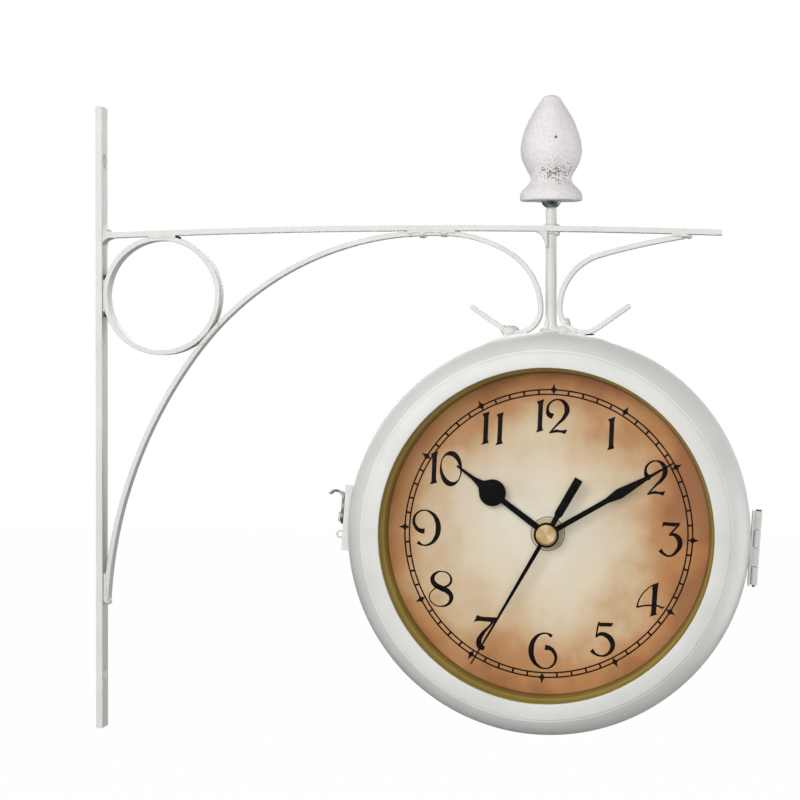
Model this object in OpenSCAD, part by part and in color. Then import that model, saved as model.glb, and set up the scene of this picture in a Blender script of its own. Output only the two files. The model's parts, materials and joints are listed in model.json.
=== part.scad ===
// Double-sided station clock on a wrought wall bracket, in millimetres.
// X runs out from the wall along the arm, -Y is the front dial's side and Z is up.
// The origin is on the wall face, midway between the two screw holes.

/* [Wall strip] */
// Height of the flat strip that lies on the wall
strip_l = 290; // [270:1:340]
// Width of the wall strip
strip_w = 12; // [11:0.5:20]
// Thickness of the wall strip
strip_t = 3; // [2:0.25:5]
// Distance between the two screw holes
screw_spacing = 240; // [180:1:250]
// Diameter of each screw hole
screw_hole_d = 7; // [4:0.5:8]

/* [Arm and braces] */
// Height of the arm's ends above the middle of the wall strip
bar_z = 85; // [75:1:95]
// Distance from the wall to the arm's free end
bar_reach = 290; // [280:1:320]
// Thickness of the arm
bar_t = 2.4; // [2:0.2:4]
// Width of the arm and of the ring
bar_w = 10; // [8:0.5:14]
// How far the arm bows up between its ends
bar_rise = 2.8; // [1:0.2:6]
// Thickness of the bent straps
strap_t = 2.2; // [1.6:0.2:3]
// Width of the bent straps
strap_w = 8; // [6:0.5:10]
// Depth below the middle of the wall strip at which the arch starts
arch_foot = 86; // [75:1:100]
// Lean of the arch away from the wall at its foot, in degrees
arch_lean = 3; // [1:0.5:8]
// Distance from the stem to where the arch meets the arm
arch_crown_back = 56; // [45:1:70]
// Straight run of the arch along the underside of the arm
arch_flat = 5; // [1:0.5:10]
// Gap that weld metal fills between two bracket pieces
fit_up = 0.1; // [0.05:0.05:0.3]
// Thickness of the ring's strap
ring_t = 2.3; // [1.8:0.1:3]

/* [Stem and scrolls] */
// Distance from the wall to the stem
stem_x = 212; // [204:1:225]
// Diameter of the stem
stem_d = 5; // [4:0.5:6]
// Gap between the stem and the left scroll
left_clear = 1.1; // [0.5:0.1:4]
// Gap between the stem and the right scroll
right_clear = 0.4; // [0.3:0.1:4]
// Bend radius of each scroll's foot on the casing
foot_r = 11; // [8:0.5:14]
// Rise of each scroll's tail, in degrees
tail_rise = 35; // [20:1:50]
// Straight length of each scroll's tail
tail_l = 18; // [10:1:25]
// Distance from the stem to the right scroll's upper end
scroll_out = 60; // [50:1:70]
// Slope of the right scroll where it meets the arm, in degrees
scroll_slope = 9; // [5:1:20]

/* [Finial] */
// Height of the finial's base above the arm's ends
finial_up = 15; // [10:0.5:25]
// Height of the finial
finial_h = 48.5; // [40:0.5:60]
// Largest diameter of the finial's bulb
bulb_d = 28.2; // [24:0.2:34]
// Height of the bulb's widest place above the finial's base
bulb_z = 23; // [21:0.1:28]
// Diameter of the finial's waist
waist_d = 18.7; // [14:0.1:22]
// Height of the waist above the finial's base
waist_z = 10.2; // [8:0.1:13]
// Diameter of the finial's foot
finial_foot_d = 28.6; // [22:0.1:32]
// Thickness of the finial foot's lip
finial_lip = 2.8; // [1:0.1:4]
// Diameter of the finial's blunt tip
finial_tip_d = 9; // [4:0.2:10]
// Diameter of the stem's screwed end inside the finial
stud_d = 3.8; // [3:0.1:3.8]
// Depth of the screwed hole in the finial
stud_l = 14; // [8:1:20]
// Diameter of the domed collar below the finial
collar_d = 9; // [7:0.5:12]
// Height of the collar
collar_h = 3.6; // [2:0.2:5]

/* [Casing] */
// Depth of the clock's centre below the arm's ends
clock_drop = 136.5; // [130:0.5:145]
// Largest diameter of the casing
case_d = 182; // [178:0.5:190]
// Depth of the casing from opening edge to opening edge
case_depth = 81; // [78:0.5:90]
// Depth of the middle band at the casing's full diameter
band_depth = 41; // [38:0.5:46]
// Diameter of the raised front ring
step_d = 164.4; // [162:0.2:168]
// Height of the step between shoulder and front ring
step_h = 1; // [0.6:0.1:1.6]
// Width of the flat ledge outside the step
ledge_w = 0.8; // [0.4:0.1:1.4]
// Fall of the front ring from its opening edge to the step
face_fall = 0.8; // [0.3:0.1:1.5]
// Diameter of the opening that shows the dial
opening_d = 150; // [146:0.5:154]
// Thickness of the casing's sheet steel
case_wall = 1; // [0.8:0.1:1.2]
// Distance of the seam in front of the casing's middle
seam_y = 8; // [7:0.5:9]
// Gap between the two halves at the seam
seam_gap = 0.3; // [0.2:0.05:0.6]
// Depth of the locating lip inside the seam
lip_depth = 4; // [2:0.5:6]
// Gap between the locating lip and the door's wall
lip_gap = 0.4; // [0.35:0.05:0.8]

/* [Glass, spacer and dial] */
// Thickness of each glass
glass_t = 2; // [1.5:0.1:3]
// Gap around the glass in its seat
glass_gap = 0.3; // [0.2:0.1:0.8]
// Thickness of each dial plate
dial_t = 1; // [0.6:0.1:1.5]
// Diameter of each dial plate
dial_d = 158; // [156:0.5:164]
// Distance of the dial's face behind the opening edge
dial_set_back = 20; // [19:0.5:22]
// Taper of the gilt spacer ring, from front edge to dial
spacer_taper = 2.4; // [0.2:0.1:3]
// Least width of the dial's edge under the spacer ring
dial_lap = 2.5; // [2:0.1:4]
// Wall thickness of the gilt spacer ring
spacer_wall = 1.6; // [1.2:0.1:2]

/* [Hinge and latch] */
// Turn of the hinge and the latch about the dial's centre, clockwise from the front, in degrees
door_roll = 4; // [0:1:8]
// Length of the hinge barrel
hinge_l = 33.4; // [24:0.2:40]
// Diameter of the hinge barrel
barrel_d = 3.2; // [2.8:0.1:3.6]
// Diameter of the hinge pin
hinge_pin_d = 1.6; // [1.2:0.1:1.8]
// Distance of the hinge pin outside the casing
hinge_out = 2.8; // [2.7:0.1:3.5]
// Thickness of each hinge leaf
leaf_t = 0.9; // [0.6:0.1:1]
// Width of each hinge leaf
leaf_w = 10; // [6:0.5:11]
// Gap between one knuckle and the next
knuckle_gap = 0.3; // [0.2:0.05:0.5]
// Radial gap of a pin in its bore
pin_fit = 0.05; // [0.02:0.01:0.09]
// Length of each latch plate
latch_l = 30; // [24:1:36]
// Width of each latch plate
latch_w = 9; // [8:0.5:10]
// Height of the latch plates above the casing
latch_stand = 3; // [2.5:0.1:4]
// Thickness of the latch hook
hook_t = 1.2; // [0.8:0.1:1.6]
// Diameter of the stud that the hook drops over
catch_d = 3; // [2.4:0.1:3.4]
// Gap around the hook's moving faces
hook_gap = 0.3; // [0.25:0.05:0.5]

/* [Movement] */
// Width and height of each movement
movement_w = 56; // [55:0.5:60]
// Depth of each movement, its cover included
movement_t = 16; // [16:0.1:16.8]
// Wall thickness of the movement's moulding
movement_wall = 1.5; // [1:0.1:1.6]
// Diameter of the threaded neck through the dial
neck_d = 8; // [7.6:0.1:8.4]
// Length of the neck in front of the dial's face
neck_up = 5.5; // [5:0.1:6]
// Diameter of the brass washer on the dial
washer_d = 15.6; // [13:0.2:18]
// Distance of the setting arbor and the third arbor from the hands' axis
arbor_reach = 11.5; // [11.2:0.1:12]
// Diameter of the small steel arbors
arbor_d = 1.2; // [1:0.1:1.3]
// Diameter of the setting knob
knob_d = 9; // [7:0.5:12]
// Height of the setting knob behind the movement
knob_h = 2.4; // [1.5:0.1:2.6]
// Gap between the setting knob and the movement's back
knob_gap = 0.3; // [0.2:0.1:0.5]
// Diameter of the dry cell
cell_d = 14.2; // [13.5:0.1:14.2]
// Length of the dry cell
cell_l = 50.5; // [49.5:0.1:50.5]

/* [Hands] */
// Turn of the dials and their hands in the casing, clockwise from upright, in degrees
dial_turn = 2.3; // [0:0.1:6]
// Length of the hour hand
hour_l = 51; // [40:0.5:52]
// Length of the minute hand
minute_l = 65.7; // [55:0.1:68]
// Length of the second hand
second_l = 67.5; // [55:0.5:69]
// Length of the second hand's tail
tail_back = 29; // [20:0.5:32]
// Thickness of the hour and minute hands
hand_t = 0.5; // [0.3:0.05:0.6]
// Dial angle of the hour hand, clockwise from twelve, in degrees
hour_angle = 304.8; // [0:0.1:360]
// Dial angle of the minute hand, clockwise from twelve, in degrees
minute_angle = 57.9; // [0:0.1:360]
// Dial angle of the second hand, clockwise from twelve, in degrees
second_angle = 207.9; // [0:0.1:360]
// Diameter of the brass cap
cap_d = 9.4; // [7:0.1:11]

/* [Hidden] */
$fn = 144;
// Overlap that lets one cut pass clean through another
over = 1;

// Arm: a shallow arc through both ends
bar_half = (bar_reach - strip_t) / 2;
bar_mid_x = strip_t + bar_half;
bar_bend_r = (bar_half * bar_half + bar_rise * bar_rise) / (2 * bar_rise);
bar_bend_z = bar_z + bar_rise - bar_bend_r;
bar_sweep = 2 * asin(bar_half / bar_bend_r);
function arc_z(x, r) = bar_bend_z + sqrt(r * r - (x - bar_mid_x) * (x - bar_mid_x));
function bar_under(x) = arc_z(x, bar_bend_r - bar_t / 2);
function bar_over(x) = arc_z(x, bar_bend_r + bar_t / 2);

// Two tangent arcs from one point and heading to another, as [radius, turn] pairs
function wrap(a) = a - 360 * round(a / 360);
function heading(a) = [cos(a), sin(a)];
function bearing(v) = atan2(v[1], v[0]);
function one_bend(p, a, q) = let (turn = wrap(2 * (bearing(q - p) - a)))
    [norm(q - p) / (2 * sin(abs(turn) / 2)), turn];
function biarc_reach(v, t1, t2) = let (s = v * (t1 + t2), c = 2 * (1 - t1 * t2))
    (sqrt(s * s + c * (v * v)) - s) / c;
function biarc_middle(p, a, q, b) = let (d = biarc_reach(q - p, heading(a), heading(b)))
    (p + q + d * (heading(a) - heading(b))) / 2;
function biarc(p, a, q, b) = let (m = biarc_middle(p, a, q, b), first = one_bend(p, a, m))
    [first, one_bend(m, a + first[1], q)];

// Clock: its centre, seen from the front
clock_z = bar_z - clock_drop;
case_r = case_d / 2;
face_z = case_depth / 2;
band_z = band_depth / 2;
step_r = step_d / 2;
open_r = opening_d / 2;
ledge_z = face_z - face_fall - step_h;
shoulder_in = case_r - step_r - ledge_w;
shoulder_up = ledge_z - band_z;
shoulder_r = (shoulder_in * shoulder_in + shoulder_up * shoulder_up) / (2 * shoulder_in);
shoulder_sweep = asin(shoulder_up / shoulder_r);
shoulder_steps = 10;
edge_round = 0.4;
seat_z = face_z - face_fall - case_wall;
glass_r = step_r - case_wall - glass_gap;
// Room kept behind each movement, so that its knob clears the other clock
back_room = knob_h / 2 + knob_gap;
dial_z = max(face_z - dial_set_back, back_room + movement_t + dial_t);
dial_back = dial_z - dial_t;

// Arch: two bends from the wall strip to the arm, then the left scroll
arch_start = [strip_t + fit_up + strap_t / 2, -arch_foot];
crown_x = stem_x - arch_crown_back;
crown = [crown_x, bar_under(crown_x) - fit_up - strap_t / 2];
arch_bends = biarc(arch_start, 90 - arch_lean, crown, 0);
left_x = stem_x - stem_d / 2 - left_clear - strap_t / 2;
right_x = stem_x + stem_d / 2 + right_clear + strap_t / 2;
foot_reach = case_r + fit_up + strap_t / 2 + foot_r;
function foot_z(x) = clock_z + sqrt(foot_reach * foot_reach - (x - stem_x) * (x - stem_x));
left_foot = [left_x - foot_r, foot_z(left_x - foot_r)];
right_foot = [right_x + foot_r, foot_z(right_x + foot_r)];
left_start = crown + [arch_flat, 0];
left_bends = biarc(left_start, 0, [left_x, left_foot[1]], -90);
scroll_x = stem_x + scroll_out;
scroll_start = [scroll_x, bar_under(scroll_x) - fit_up - strap_t / 2];
right_bends = biarc(scroll_start, 180 + scroll_slope, [right_x, right_foot[1]], 270);

// Ring: touches the wall strip, the arm and the arch's upper bend
upper_bend_r = arch_bends[1][0];
upper_bend = crown - [0, upper_bend_r];
ring_wall_x = strip_t + fit_up;
ring_top_z = bar_under(ring_wall_x + 30) - fit_up;
ring_u = upper_bend[0] - ring_wall_x;
ring_v = ring_top_z - upper_bend[1];
ring_grip = upper_bend_r + strap_t / 2 + fit_up;
ring_sum = ring_u + ring_v + ring_grip;
ring_r = ring_sum - sqrt(ring_sum * ring_sum - ring_u * ring_u - ring_v * ring_v + ring_grip * ring_grip);
ring_x = ring_wall_x + ring_r;
ring_z = ring_top_z - ring_r;

// Stem and finial
finial_z = bar_z + finial_up;
taper_z = finial_h - 2.4;
weld_r = 1.8;

// Hinge: knuckles one to four from the top, on a pin outside the casing
knuckles = 4;
knuckle_l = (hinge_l - (knuckles - 1) * knuckle_gap) / knuckles;
knuckle_pitch = knuckle_l + knuckle_gap;
pin_r = hinge_pin_d / 2;
pin_x = case_r + hinge_out;

// Latch: stations measured out from the casing's centre
latch_face = case_r + latch_stand;
hook_in = latch_face + hook_gap;
hook_out = hook_in + hook_t;
catch_head = hook_out + hook_gap;
hook_pin_d = 2.4;
head_t = 1;

// Movement: heights along the hands' axis, measured from the casing's middle
cover_t = movement_wall;
cover_z = dial_back - cover_t;
back_z = dial_back - movement_t;
floor_z = back_z + 1.2;
bay_low = -movement_w / 2 + movement_wall;
bay_top = bay_low + cell_d + 0.4;
cavity_low = bay_top + 0.8;
neck_top = dial_z + neck_up;
nut_z = dial_z + 0.6;
nut_t = 2;
setting_side = 150;
third_side = 30;
setting_at = arbor_reach * heading(setting_side);
third_at = arbor_reach * heading(third_side);

// Running bores, from the outside in
run_fit = 0.06;
hour_pipe_r = 2.5;
cannon_r = 1.6;
second_r = 0.5;

// Wheel levels above the movement's floor
second_wheel_z = floor_z + 1.2;
third_wheel_z = floor_z + 3.4;
centre_wheel_z = floor_z + 6.4;
setting_wheel_z = floor_z + 9.4;
hour_wheel_z = floor_z + 11.4;
wheel_t = 0.7;
pinion_t = 1.2;

// Teeth: each pair's module follows from its centre distance
cannon_teeth = 12;
setting_teeth = 36;
setting_pinion_teeth = 10;
hour_teeth = 40;
second_pinion_teeth = 8;
third_teeth = 60;
third_pinion_teeth = 8;
centre_teeth = 64;
second_teeth = 48;
function pair_module(a, b) = 2 * arbor_reach / (a + b);
setting_module = pair_module(cannon_teeth, setting_teeth);
hour_module = pair_module(setting_pinion_teeth, hour_teeth);
third_module = pair_module(second_pinion_teeth, third_teeth);
centre_module = pair_module(third_pinion_teeth, centre_teeth);
second_module = 0.34;
// Turn that puts a gap, not a tooth, on the line to the partner
function gap_turn(teeth) = 180 / teeth;

// Hands: planes above the neck
hour_z = neck_top + 0.7;
minute_z = hour_z + 2.3;
hub_z = minute_z + 2.1;
hub_t = 0.7;
second_t = 0.35;
cap_t = 1.3;
hub_d = 11.2;

paint = "#dededa";
cast = "#e6e2e2";
gilt = "#9c8a48";
brass = "#c9a063";
steel = "#8f9194";
hands_black = "#22242a";
card = "#cdb58f";
mould = "#2b2c2e";
white_mould = "#e9e7df";

// Places its children on the front dial's axis, with local +Z towards the viewer
module front_side() {
    translate([stem_x, 0, clock_z])
        rotate([90, 0, 0])
            children();
}

// Places its children on the rear dial's axis, with local +Z away from the front
module rear_side() {
    translate([stem_x, 0, clock_z])
        rotate([90, 0, 180])
            children();
}

// Stands a flat drawing of X and height up in the bracket's own plane
module in_bracket_plane() {
    rotate([90, 0, 0])
        children();
}

// Place and heading at a share of one bend, which is [radius, turn] or [length, 0]
function along(p, a, bend, share) =
    bend[1] == 0 ? [p + share * bend[0] * heading(a), a] :
    let (reach = sign(bend[1]) * bend[0], turned = a + share * bend[1])
    [p + reach * (heading(a + 90) - heading(turned + 90)), turned];

// Stations down the middle of a strap, about 1.5 mm apart round its bends
function stations(p, a, bends, i = 0) =
    i == len(bends) ? [[p, a]] :
    let (bend = bends[i],
         steps = bend[1] == 0 ? 1 : ceil(bend[0] * abs(bend[1]) / 180 * PI / 1.5),
         end = along(p, a, bend, 1))
    concat([for (k = [0 : steps - 1]) along(p, a, bend, k / steps)],
           stations(end[0], end[1], bends, i + 1));
function beside(station, out) = station[0] + out * heading(station[1] + 90);

// A flat strap bent edgewise in the bracket's plane, by its start, heading and bends
module strap(start, angle, bends) {
    middle = stations(start, angle, bends);
    last = len(middle) - 1;
    in_bracket_plane()
        translate([0, 0, -strap_w / 2])
            linear_extrude(strap_w)
                polygon(concat(
                    [for (i = [0 : last]) beside(middle[i], strap_t / 2)],
                    [for (i = [last : -1 : 0]) beside(middle[i], -strap_t / 2)]
                ));
}

module wall_strip() {
    color(paint)
        difference() {
            translate([0, -strip_w / 2, -strip_l / 2])
                cube([strip_t, strip_w, strip_l]);
            for (side = [-1, 1])
                translate([-over, 0, side * screw_spacing / 2])
                    rotate([0, 90, 0])
                        cylinder(d = screw_hole_d, h = strip_t + 2 * over);
        }
}

module arm_bar() {
    color(paint)
        difference() {
            in_bracket_plane()
                translate([bar_mid_x, bar_bend_z, 0])
                    rotate([0, 0, 90 - bar_sweep / 2])
                        rotate_extrude(angle = bar_sweep, $fn = 3600)
                            translate([bar_bend_r - bar_t / 2, -bar_w / 2])
                                square([bar_t, bar_w]);
            translate([stem_x, 0, clock_z])
                cylinder(d = stem_d, h = clock_drop + finial_up);
            translate([-over, -bar_w, bar_z - 5 * bar_t])
                cube([strip_t + over, 2 * bar_w, 10 * bar_t]);
        }
}

module brace_ring() {
    color(paint)
        in_bracket_plane()
            translate([ring_x, ring_z, -bar_w / 2])
                difference() {
                    cylinder(r = ring_r, h = bar_w);
                    translate([0, 0, -over])
                        cylinder(r = ring_r - ring_t, h = bar_w + 2 * over);
                }
}

module arch_brace() {
    color(paint)
        strap(arch_start, 90 - arch_lean, concat(
            arch_bends,
            [[arch_flat, 0]],
            left_bends,
            [[foot_r, -90 - tail_rise], [tail_l, 0]]
        ));
}

module right_scroll() {
    color(paint)
        strap(scroll_start, 180 + scroll_slope, concat(
            right_bends,
            [[foot_r, 90 + tail_rise], [tail_l, 0]]
        ));
}

module stem() {
    color(paint)
        translate([stem_x, 0, clock_z + case_r - case_wall]) {
            cylinder(d = stem_d, h = clock_drop - case_r + case_wall + finial_up - collar_h);
            cylinder(d = stud_d, h = clock_drop - case_r + case_wall + finial_up + stud_l - 1);
        }
}

// A short run of weld metal across the bracket at one point
module bead(x, z, r = weld_r, w = strap_w) {
    in_bracket_plane()
        translate([x, z, -w / 2])
            cylinder(r = r, h = w);
}

// Height of the casing's round top at a place along the arm
function case_top(x) = clock_z + sqrt(case_r * case_r - (x - stem_x) * (x - stem_x));

// Weld metal that fills the corner between the arm's underside and the stem
module corner_weld(w, h) {
    in_bracket_plane()
        translate([stem_x - stem_d / 2, bar_under(stem_x), -stem_d / 2 + 0.3])
            linear_extrude(stem_d - 0.6)
                polygon(concat(
                    [[0.6, fit_up], [0.6, -h]],
                    [for (a = [0 : 15 : 90]) [-w + w * cos(a), -h + h * sin(a)]],
                    [[-w, fit_up]]
                ));
}

// Point on the ring's rim towards the arch
function rim(a, r) = [ring_x + r * cos(a), ring_z + r * sin(a)];
ring_to_arch = atan2(upper_bend[1] - ring_z, upper_bend[0] - ring_x);

// The arm's short stretch around x, which is straight to a hundredth of a millimetre
module bar_near(x) {
    in_bracket_plane()
        translate([x, arc_z(x, bar_bend_r), 0])
            rotate([0, 0, asin((bar_mid_x - x) / bar_bend_r)])
                cube([18, bar_t + 0.05, bar_w + 1], center = true);
}

module weld_beads() {
    $fn = 240;
    touch = 14;
    crown_welds = [crown_x - 9, crown_x + arch_flat + 6];
    color(paint)
        difference() {
            union() {
                bead(strip_t + 0.7, bar_z + bar_t / 2 + 0.7, 2.6, bar_w);
                bead(strip_t + 0.7, bar_z - bar_t / 2 - 0.5, 2.2, bar_w);
                for (side = [-1, 1]) {
                    bead(strip_t + 0.4, ring_z + side * touch / 2, 1.5);
                    bead(ring_x + side * touch / 2, bar_under(ring_x) - 0.4, 1.4);
                }
                for (turn = [-touch, touch])
                    let (p = rim(ring_to_arch + turn, ring_r + 0.9))
                        bead(p[0], p[1], 1.3);
                bead(strip_t + 0.6, -arch_foot - 0.3, 2.2);
                bead(strip_t + 0.4, -arch_foot + 12, 1.5);
                for (x = crown_welds)
                    bead(x, bar_under(x) - 0.5, 1.4);
                bead(scroll_x - 5, bar_under(scroll_x) - 0.9, 1.8);
                corner_weld(4.8, 7.7);
                translate([stem_x, 0, bar_under(stem_x) - 2.5])
                    cylinder(r1 = stem_d / 2 + 0.2, r2 = stem_d / 2 + 2.2, h = 2.7);
                translate([stem_x, 0, bar_over(stem_x) - 0.2])
                    cylinder(r1 = stem_d / 2 + 2, r2 = stem_d / 2 + 0.2, h = 2.2);
                translate([stem_x, 0, clock_z + case_r - 0.3])
                    cylinder(r1 = stem_d / 2 + 2, r2 = stem_d / 2 + 0.2, h = 4);
                for (foot = [left_foot, right_foot])
                    for (x = [foot[0] - foot_r / 2, foot[0] + foot_r / 2])
                        bead(x, case_top(x) + 0.6, 1.7);
            }
            for (x = concat(crown_welds, [strip_t, ring_x, stem_x, scroll_x - 5]))
                bar_near(x);
            wall_strip();
            brace_ring();
            arch_brace();
            right_scroll();
            stem();
            front_side()
                translate([0, 0, -face_z])
                    cylinder(r = case_r, h = case_depth);
        }
}

// Radius of the finial at a height above its base: foot, waist, bulb and taper
function ease(a, b, t) = a + (b - a) * (1 - cos(180 * t)) / 2;
function finial_r(z) =
    z < waist_z ? ease(finial_foot_d, waist_d, (z - finial_lip) / (waist_z - finial_lip)) / 2 :
    z < bulb_z ? ease(waist_d, bulb_d, pow((z - waist_z) / (bulb_z - waist_z), 0.75)) / 2 :
    (bulb_d - (bulb_d - finial_tip_d) * pow((z - bulb_z) / (taper_z - bulb_z), 1.8)) / 2;

module finial() {
    steps = 30;
    rise = taper_z - finial_lip;
    color(cast)
        translate([stem_x, 0, finial_z])
            difference() {
                rotate_extrude()
                    polygon(concat(
                        [[0, 0], [finial_foot_d / 2 - 0.5, 0], [finial_foot_d / 2, 0.5]],
                        [for (i = [0 : steps]) let (z = finial_lip + rise * i / steps) [finial_r(z), z]],
                        [for (a = [20 : 10 : 90])
                            [finial_tip_d / 2 * cos(a), taper_z + (finial_h - taper_z) * sin(a)]]
                    ));
                translate([0, 0, -over])
                    cylinder(r = stud_d / 2 + pin_fit, h = stud_l + over);
            }
}

module finial_collar() {
    color(steel)
        translate([stem_x, 0, finial_z])
            difference() {
                rotate_extrude()
                    polygon(concat(
                        [[0, 0]],
                        [for (a = [0 : 10 : 90]) [collar_d / 2 * cos(a), -collar_h * sin(a)]]
                    ));
                translate([0, 0, -collar_h - over])
                    cylinder(r = stud_d / 2 + pin_fit, h = collar_h + 2 * over);
            }
}

// Section of one half of the casing, from its seam to its opening edge
module shell_section(seam) {
    sweep = shoulder_sweep / shoulder_steps;
    centre_x = case_r - shoulder_r;
    inner_r = shoulder_r - case_wall;
    polygon(concat(
        [[case_r, seam]],
        [for (i = [0 : shoulder_steps])
            [centre_x + shoulder_r * cos(i * sweep), band_z + shoulder_r * sin(i * sweep)]],
        [[step_r, ledge_z], [step_r, ledge_z + step_h - edge_round],
         [step_r - edge_round, ledge_z + step_h], [open_r + edge_round, face_z],
         [open_r, face_z - edge_round], [open_r, seat_z], [step_r - case_wall, seat_z],
         [step_r - case_wall, ledge_z - case_wall]],
        [for (i = [shoulder_steps : -1 : 0])
            [centre_x + inner_r * cos(i * sweep), band_z + inner_r * sin(i * sweep)]],
        [[case_r - case_wall, seam]]
    ));
}

module front_shell() {
    color(paint)
        front_side()
            rotate_extrude()
                shell_section(seam_y + seam_gap);
}

module rear_shell() {
    lip_r = case_r - case_wall;
    color(paint)
        difference() {
            rear_side()
                rotate_extrude() {
                    shell_section(-seam_y);
                    polygon([
                        [lip_r + case_wall / 2, -seam_y + 5], [lip_r + case_wall / 2, -seam_y + 0.4],
                        [lip_r - lip_gap, -seam_y + 0.4], [lip_r - lip_gap, -seam_y - lip_depth],
                        [lip_r - lip_gap - 0.8, -seam_y - lip_depth],
                        [lip_r - lip_gap - 0.8, -seam_y + 5]
                    ]);
                }
            translate([stem_x, 0, clock_z])
                cylinder(d = stem_d, h = case_d);
        }
}

// Turns its children round to the hinge, with local +X pointing out of the casing
module at_hinge() {
    front_side()
        rotate([0, 0, -door_roll])
            children();
}

// Turns its children round to the latch, with local +X out and local +Y down
module at_latch() {
    front_side()
        rotate([0, 0, 180 - door_roll])
            children();
}

// Knuckle number i of the hinge, from the top, drawn along the pin
module knuckle(i, side) {
    low = hinge_l / 2 - knuckle_l - i * knuckle_pitch;
    translate([pin_x, low, seam_y])
        rotate([-90, 0, 0])
            cylinder(d = barrel_d, h = knuckle_l);
    translate([case_r, low, side > 0 ? seam_y + knuckle_gap : seam_y - barrel_d / 2])
        cube([hinge_out, knuckle_l, barrel_d / 2 - knuckle_gap]);
}

// One leaf of the hinge: side is 1 for the door's and -1 for the case's
module hinge_leaf(first, side) {
    color(paint)
        at_hinge()
            difference() {
                union() {
                    for (i = [first, first + 2])
                        knuckle(i, side);
                    translate([case_r, -hinge_l / 2, side > 0 ? seam_y + knuckle_gap : seam_y - knuckle_gap - leaf_w])
                        cube([leaf_t, hinge_l, leaf_w]);
                }
                translate([pin_x, -hinge_l, seam_y])
                    rotate([-90, 0, 0])
                        cylinder(r = pin_r + pin_fit, h = 2 * hinge_l);
            }
}

module hinge_leaf_door() {
    hinge_leaf(0, 1);
}

module hinge_leaf_case() {
    hinge_leaf(1, -1);
}

module hinge_pin() {
    proud = 1;
    color(steel)
        at_hinge()
            translate([pin_x, -hinge_l / 2 - proud, seam_y])
                rotate([-90, 0, 0]) {
                    cylinder(r = pin_r, h = hinge_l + proud);
                    translate([0, 0, hinge_l + proud])
                        cylinder(r = barrel_d / 2 - 0.2, h = 0.8);
                }
}

// Pressed plate of the latch that straddles the round casing on its side walls
module latch_plate(low, hole_d) {
    wall = 1;
    color(paint)
        at_latch()
            difference() {
                translate([case_r - 3, -latch_l / 2, low])
                    cube([latch_stand + 3, latch_l, latch_w]);
                cylinder(r = case_r, h = case_depth, center = true);
                translate([case_r - 4, -latch_l / 2 + wall, low + wall])
                    cube([latch_stand + 4 - wall, latch_l - 2 * wall, latch_w - 2 * wall]);
                translate([case_r, 0, low + latch_w / 2])
                    rotate([0, 90, 0])
                        cylinder(d = hole_d, h = latch_stand + over);
            }
}

door_plate_low = seam_y + seam_gap;
case_plate_low = seam_y - latch_w;
catch_z = door_plate_low + latch_w / 2;
hook_pin_z = case_plate_low + latch_w / 2;

// Door plate with its headed catch stud and a small locking eye below it
module latch_plate_door() {
    eye_r = 1.5;
    latch_plate(door_plate_low, catch_d);
    color(paint)
        at_latch() {
            translate([case_r + 1.2, 0, catch_z])
                rotate([0, 90, 0])
                    cylinder(d = catch_d, h = catch_head - case_r - 1.2 + head_t);
            translate([catch_head, 0, catch_z])
                rotate([0, 90, 0])
                    cylinder(d = catch_d + 1.6, h = head_t);
            translate([latch_face + eye_r, 8, catch_z])
                rotate_extrude()
                    translate([eye_r, 0])
                        circle(r = 0.45, $fn = 32);
        }
}

module latch_plate_case() {
    latch_plate(case_plate_low, hook_pin_d);
}

// Swing hook: a slotted bar that drops over the catch stud, with a curled thumb tab
module latch_hook() {
    span = catch_z - hook_pin_z;
    slot_r = catch_d / 2 + hook_gap;
    slot_sweep = 60;
    arm_w = 7;
    curl_r = 4;
    color(steel)
        at_latch() {
            difference() {
                union() {
                    translate([hook_in, 0, hook_pin_z])
                        rotate([0, 90, 0])
                            cylinder(d = arm_w, h = hook_t);
                    translate([hook_in, -arm_w / 2, hook_pin_z])
                        cube([hook_t, arm_w, span]);
                    translate([hook_in, 0, catch_z])
                        rotate([0, 90, 0])
                            cylinder(d = arm_w, h = hook_t);
                    translate([hook_in, -arm_w - 1.5, catch_z - arm_w / 2])
                        cube([hook_t, arm_w + 1.5, arm_w]);
                }
                translate([hook_in - over, 0, hook_pin_z])
                    rotate([0, 90, 0])
                        cylinder(r = hook_pin_d / 2 + pin_fit, h = hook_t + 2 * over);
                translate([hook_in - over, 0, catch_z])
                    rotate([0, 90, 0])
                        cylinder(r = slot_r, h = hook_t + 2 * over);
                translate([hook_in - over, 0, hook_pin_z])
                    rotate([0, 90, 0])
                        rotate([0, 0, 180 - slot_sweep])
                            rotate_extrude(angle = slot_sweep)
                                translate([span - slot_r, 0])
                                    square([2 * slot_r, hook_t + 2 * over]);
            }
            translate([hook_in + curl_r, -arm_w - 1.5, catch_z - arm_w / 2])
                rotate([0, 0, 180])
                    rotate_extrude(angle = 150)
                        translate([curl_r - hook_t, 0])
                            square([hook_t, arm_w]);
        }
}

// Rivet that carries the hook on the case's plate
module latch_rivet() {
    color(steel)
        at_latch()
            translate([case_r + 1.2, 0, hook_pin_z])
                rotate([0, 90, 0]) {
                    cylinder(d = hook_pin_d, h = catch_head - case_r - 1.2);
                    translate([0, 0, catch_head - case_r - 1.2])
                        cylinder(d = hook_pin_d + 2.2, h = head_t);
                }
}

module glass() {
    color("#cfe3e8", 0.35)
        translate([0, 0, seat_z - glass_t])
            cylinder(r = glass_r, h = glass_t);
}

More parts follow.
